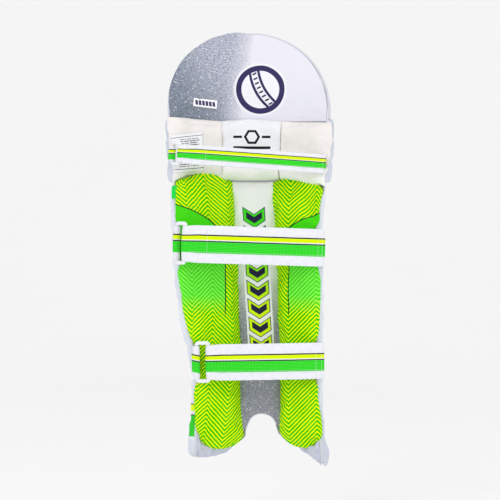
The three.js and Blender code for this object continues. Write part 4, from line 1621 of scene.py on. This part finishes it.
def make_strap(
    name, root_body, z, slope, width, keeper, turn, end, reach, anchor, sewn, shift, stitched, tape_from=180,
    keeper_tilt=0.0, keeper_drop=0.0,
):
    """One strap: keeper, ring, base band, folded-back tail, striped tape, hook patch and stitching.

    keeper and turn place the ring: its bar in the keeper, and how far it swings round that from +X. end is
    the x where tail and base part, anchor and sewn the x and y where the base is sewn down. reach is the x of
    the tail's end, shift how far the tape is above the strap's middle, stitched the places of the rows of
    stitches across it, and tape_from the angle round the ring's bar where its tape starts. keeper_tilt and
    keeper_drop are how the stripes on the keeper stand to those on the tail.
    """
    a = math.radians(turn)
    bar = (keeper[0] + RING_SPAN * math.cos(a), keeper[1] - RING_SPAN * math.sin(a))
    wrap = BAR_R + BAR_CLEAR + STRAP_THICK / 2
    tip = on_shell(turn_at(z), z, 5)
    root = on_shell(-turn_at(z), z, 5)
    narrow = width < 40
    tape_width = width * (0.54 if narrow else 0.49)
    stripe = striped_tape(f"{name}_stripes", tape_width, NARROW_STRIPES if narrow else STRIPES)
    ring_body, tail_body = f"{name}_ring", f"{name}_tail"

    def from_bar(x, y=0.0):
        return ((bar[0] + x) * MM, (bar[1] + y) * MM, z * MM)

    def tail_y(x):
        t = (x - bar[0]) / (end - bar[0])
        return mix(bar[1] - wrap, tip[1] - TAIL_LIFT, t) - TAIL_SAG * t * (1 - t)

    def along(x0, x1, out=0.0):
        x = np.linspace(x0, x1, 60)
        return np.stack([x, tail_y(x) + out], -1)

    def strip(label, line, thick, wide, **more):
        return band(f"{name}_{label}", line, thick, wide, z, slope, **more)

    def tail():
        """The folded-back tail and its striped tape."""
        fold = (ring_body, tail_body, from_bar(-2.1, 2.1), from_bar(1.8, -1.8))
        gather = (6, 15, GATHER / width)
        line = np.concatenate([arc(bar, wrap, 100, 262), along(bar[0] + 2, reach)])
        strap = strip("tail_band", line, STRAP_THICK, width, seed=3, squeeze=gather)
        piece(strap, STRAP_WHITE, "strap_webbing", fold, [f"{name}_strap_tail"], fill=0.5)
        line = np.concatenate([
            arc(bar, wrap + TAPE_OUT, tape_from, 262), along(bar[0] + 2, reach + 0.4, -TAPE_OUT),
        ])
        tape = strip(
            "tail_stripes", line, 1.1, tape_width, shift=shift, seed=3, square=10, squeeze=gather,
        )
        piece(tape, stripe, "green_webbing", fold, [f"{name}_strap_tape"])

    def tail_stitches():
        """A row along the tape's lower edge, and rows across the tail."""
        line = along(bar[0] + 4, reach - 1, -TAPE_OUT - 0.62)
        rows = [np.concatenate([line, np.full((len(line), 1), shift - tape_width * 0.44)], 1)]
        for x in stitched:
            h = np.linspace(-width * 0.46, width * 0.46, 30)
            y = tail_y(x) - STRAP_THICK / 2 - np.where(np.abs(h - shift) < tape_width / 2, 0.95, 0.1)
            rows.append(np.stack([0 * h + x, y, h], -1))
        piece(
            stitches(f"{name}_stitches", [tilted(r, z, slope) for r in rows], 1.7, 1.0, 0.3),
            WHITE_THREAD, None, tail_body,
        )

    def hook_patch():
        line = along(bar[0] + 55, end - 8, STRAP_THICK / 2 + 0.7)
        hook = strip("hook_cover", line, 1.3, min(25, width * 0.7), wave=0.0)
        piece(hook, HOOKS, "hook_tape", tail_body, [f"{name}_hook_patch"])

    def base():
        """The base band runs behind the tail, and then round to where it is sewn down."""
        base_line = along(bar[0] + wrap + 14, end - 6, STRAP_THICK + 2.6)
        corner = base_line[-1]
        r = anchor - corner[0]
        middle = (corner[0], corner[1] + r)
        base_line = np.concatenate([
            [(bar[0] + 0.5, bar[1] + wrap)], base_line, arc(middle, r, -80, 0), [(anchor + 0.5, sewn)],
        ])
        strap = strip("base_band", base_line, STRAP_THICK, width, seed=5, squeeze=(0, 18, GATHER / width))
        loose = (root_body, ring_body, from_bar(62), from_bar(8))
        piece(strap, STRAP_WHITE, "strap_webbing", loose, [f"{name}_strap_base"], fill=0.5)
        around = np.concatenate([arc(middle, r + TAPE_OUT, -75, 0), [(anchor + 0.5 + TAPE_OUT, sewn - 3)]])
        tape = strip("base_stripes", around, 1.0, tape_width, shift=shift, wave=0.05, square=10)
        piece(tape, stripe, "green_webbing", root_body)

    def keeper_loop():
        """The keeper goes round the ring's other bar, and has its own stripes."""
        keeper_wrap = BAR_R + BAR_CLEAR + KEEPER_THICK / 2
        keeper_line = np.concatenate([
            [(root[0] - 1, root[1] - KEEPER_START)], arc(keeper, keeper_wrap, 185, 420),
            [(keeper[0] + 1.2, keeper[1] + keeper_wrap + KEEPER_START)],
        ])
        piece(
            strip("keeper_band", keeper_line, KEEPER_THICK, width - 5, wave=0.1, step=1.2),
            STRAP_WHITE, "strap_webbing", root_body, [f"{name}_keeper"], fill=0.5,
        )
        outside = np.concatenate([
            [(root[0] - 3.1, root[1] - KEEPER_START)], arc(keeper, keeper_wrap + 1.85, 185, 345),
        ])
        tape = strip(
            "keeper_stripes", outside, 0.9, tape_width, shift=shift - keeper_drop, wave=0.0, step=1.2,
            square=10,
        )
        co = points_of(tape)
        co[:, 2] -= (co[:, 0] - keeper[0] * MM) * math.tan(math.radians(keeper_tilt))
        set_points(tape, co)
        piece(tape, stripe, "green_webbing", root_body)

    tail()
    tail_stitches()
    hook_patch()
    base()
    ring = smooth_ring(f"{name}_ring_moulded", keeper, turn, width, z, slope)
    piece(ring, PLASTIC, "ring_plastic", ring_body, [f"{name}_ring"])
    keeper_loop()


make_strap(
    "knee", "knee", z=-16, slope=3.9, width=31, keeper=(-126, -34), turn=58, end=121, reach=122.5,
    anchor=121, sewn=-19, shift=1.2, stitched=(-72, 118.6), tape_from=236, keeper_drop=2.4,
)
make_strap(
    "calf", "shin", z=-157, slope=1.8, width=61, keeper=(-119, -44), turn=48, end=113, reach=120.5,
    anchor=119.8, sewn=-6, shift=0.6, stitched=(-69.5, 110.4, 117.1),
)
make_strap(
    "ankle", "shin", z=-345.6, slope=-0.9, width=59, keeper=(-87, -36), turn=10, end=113, reach=120,
    anchor=118.4, sewn=-6, shift=-1.8, stitched=(107, 116), keeper_tilt=12,
)

tab = band("side_tab_fold", folded_tab(), 1.6, (tab_high.z - tab_low.z) / MM, TAB_Z, 0, wave=0.05, step=1.0)
piece(tab, WEBBING, "green_webbing", "shin", ["side_tab"], fill=0.5)

# ---- Simulation, finishing, and the hard parts inside ----
simulate()
finish_pieces()
lay_on(label, bpy.data.objects["knee_locator_outer_cover"], 0.3)
for name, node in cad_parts.items():
    if name.startswith("cane_"):
        material = CANE_WOOD
    elif name == "knee_insert":
        material = IMPACT_DARK
    else:
        continue
    node.data.materials.clear()
    node.data.materials.append(material)


# ---- Floor, light and camera ----
def sweep_backdrop():
    """A pale floor that curves up into a wall."""
    floor, wall, r = -0.60, 8.0, 3.0
    turns = np.linspace(0, math.pi / 2, 24)
    bend = [(wall - r + r * math.sin(t), floor + r - r * math.cos(t)) for t in turns]
    line = [(-30.0, floor)] + bend + [(wall, 12.0)]
    verts = [(x, y, z) for y, z in line for x in (-30.0, 30.0)]
    faces = [(2 * i, 2 * i + 1, 2 * i + 3, 2 * i + 2) for i in range(len(line) - 1)]
    mesh = bpy.data.meshes.new("backdrop")
    mesh.from_pydata(verts, [], faces)
    mesh.polygons.foreach_set("use_smooth", [True] * len(mesh.polygons))
    obj = bpy.data.objects.new("backdrop", mesh)
    SCENE.collection.objects.link(obj)
    look = Look("backdrop_paper", 0.95)
    paper = look.mix(look.noise(900.0, 1.0), srgb(249, 249, 249), srgb(252, 252, 252))
    mesh.materials.append(look.made(paper))


def area_light(name, place, target, size, power):
    data = bpy.data.lights.new(name, "AREA")
    data.shape = "RECTANGLE"
    data.size, data.size_y = size
    data.energy = power
    obj = bpy.data.objects.new(name, data)
    SCENE.collection.objects.link(obj)
    obj.location = place
    obj.rotation_euler = (Vector(target) - Vector(place)).to_track_quat("-Z", "Y").to_euler()


sweep_backdrop()
world = bpy.data.worlds.new("studio")
world.use_nodes = True
world.node_tree.nodes["Background"].inputs["Color"].default_value = (1, 1, 1, 1)
world.node_tree.nodes["Background"].inputs["Strength"].default_value = 0.945
SCENE.world = world
area_light("key", (-1.3, -2.6, 1.5), (0, 0, -0.15), (1.6, 1.6), 14)
area_light("fill", (2.0, -2.2, 0.3), (0, 0, -0.15), (1.6, 2.0), 9)

CAMERA_DISTANCE, FRAME_WIDTH, FRAME_MIDDLE = 5.5, 0.818, -0.164
camera_data = bpy.data.cameras.new("camera")
camera_data.lens = camera_data.sensor_width * CAMERA_DISTANCE / FRAME_WIDTH
camera = bpy.data.objects.new("camera", camera_data)
camera.location = (0, -CAMERA_DISTANCE, FRAME_MIDDLE)
camera.rotation_euler = (math.pi / 2, 0, 0)
SCENE.collection.objects.link(camera)
SCENE.camera = camera
SCENE.view_settings.view_transform = "Standard"
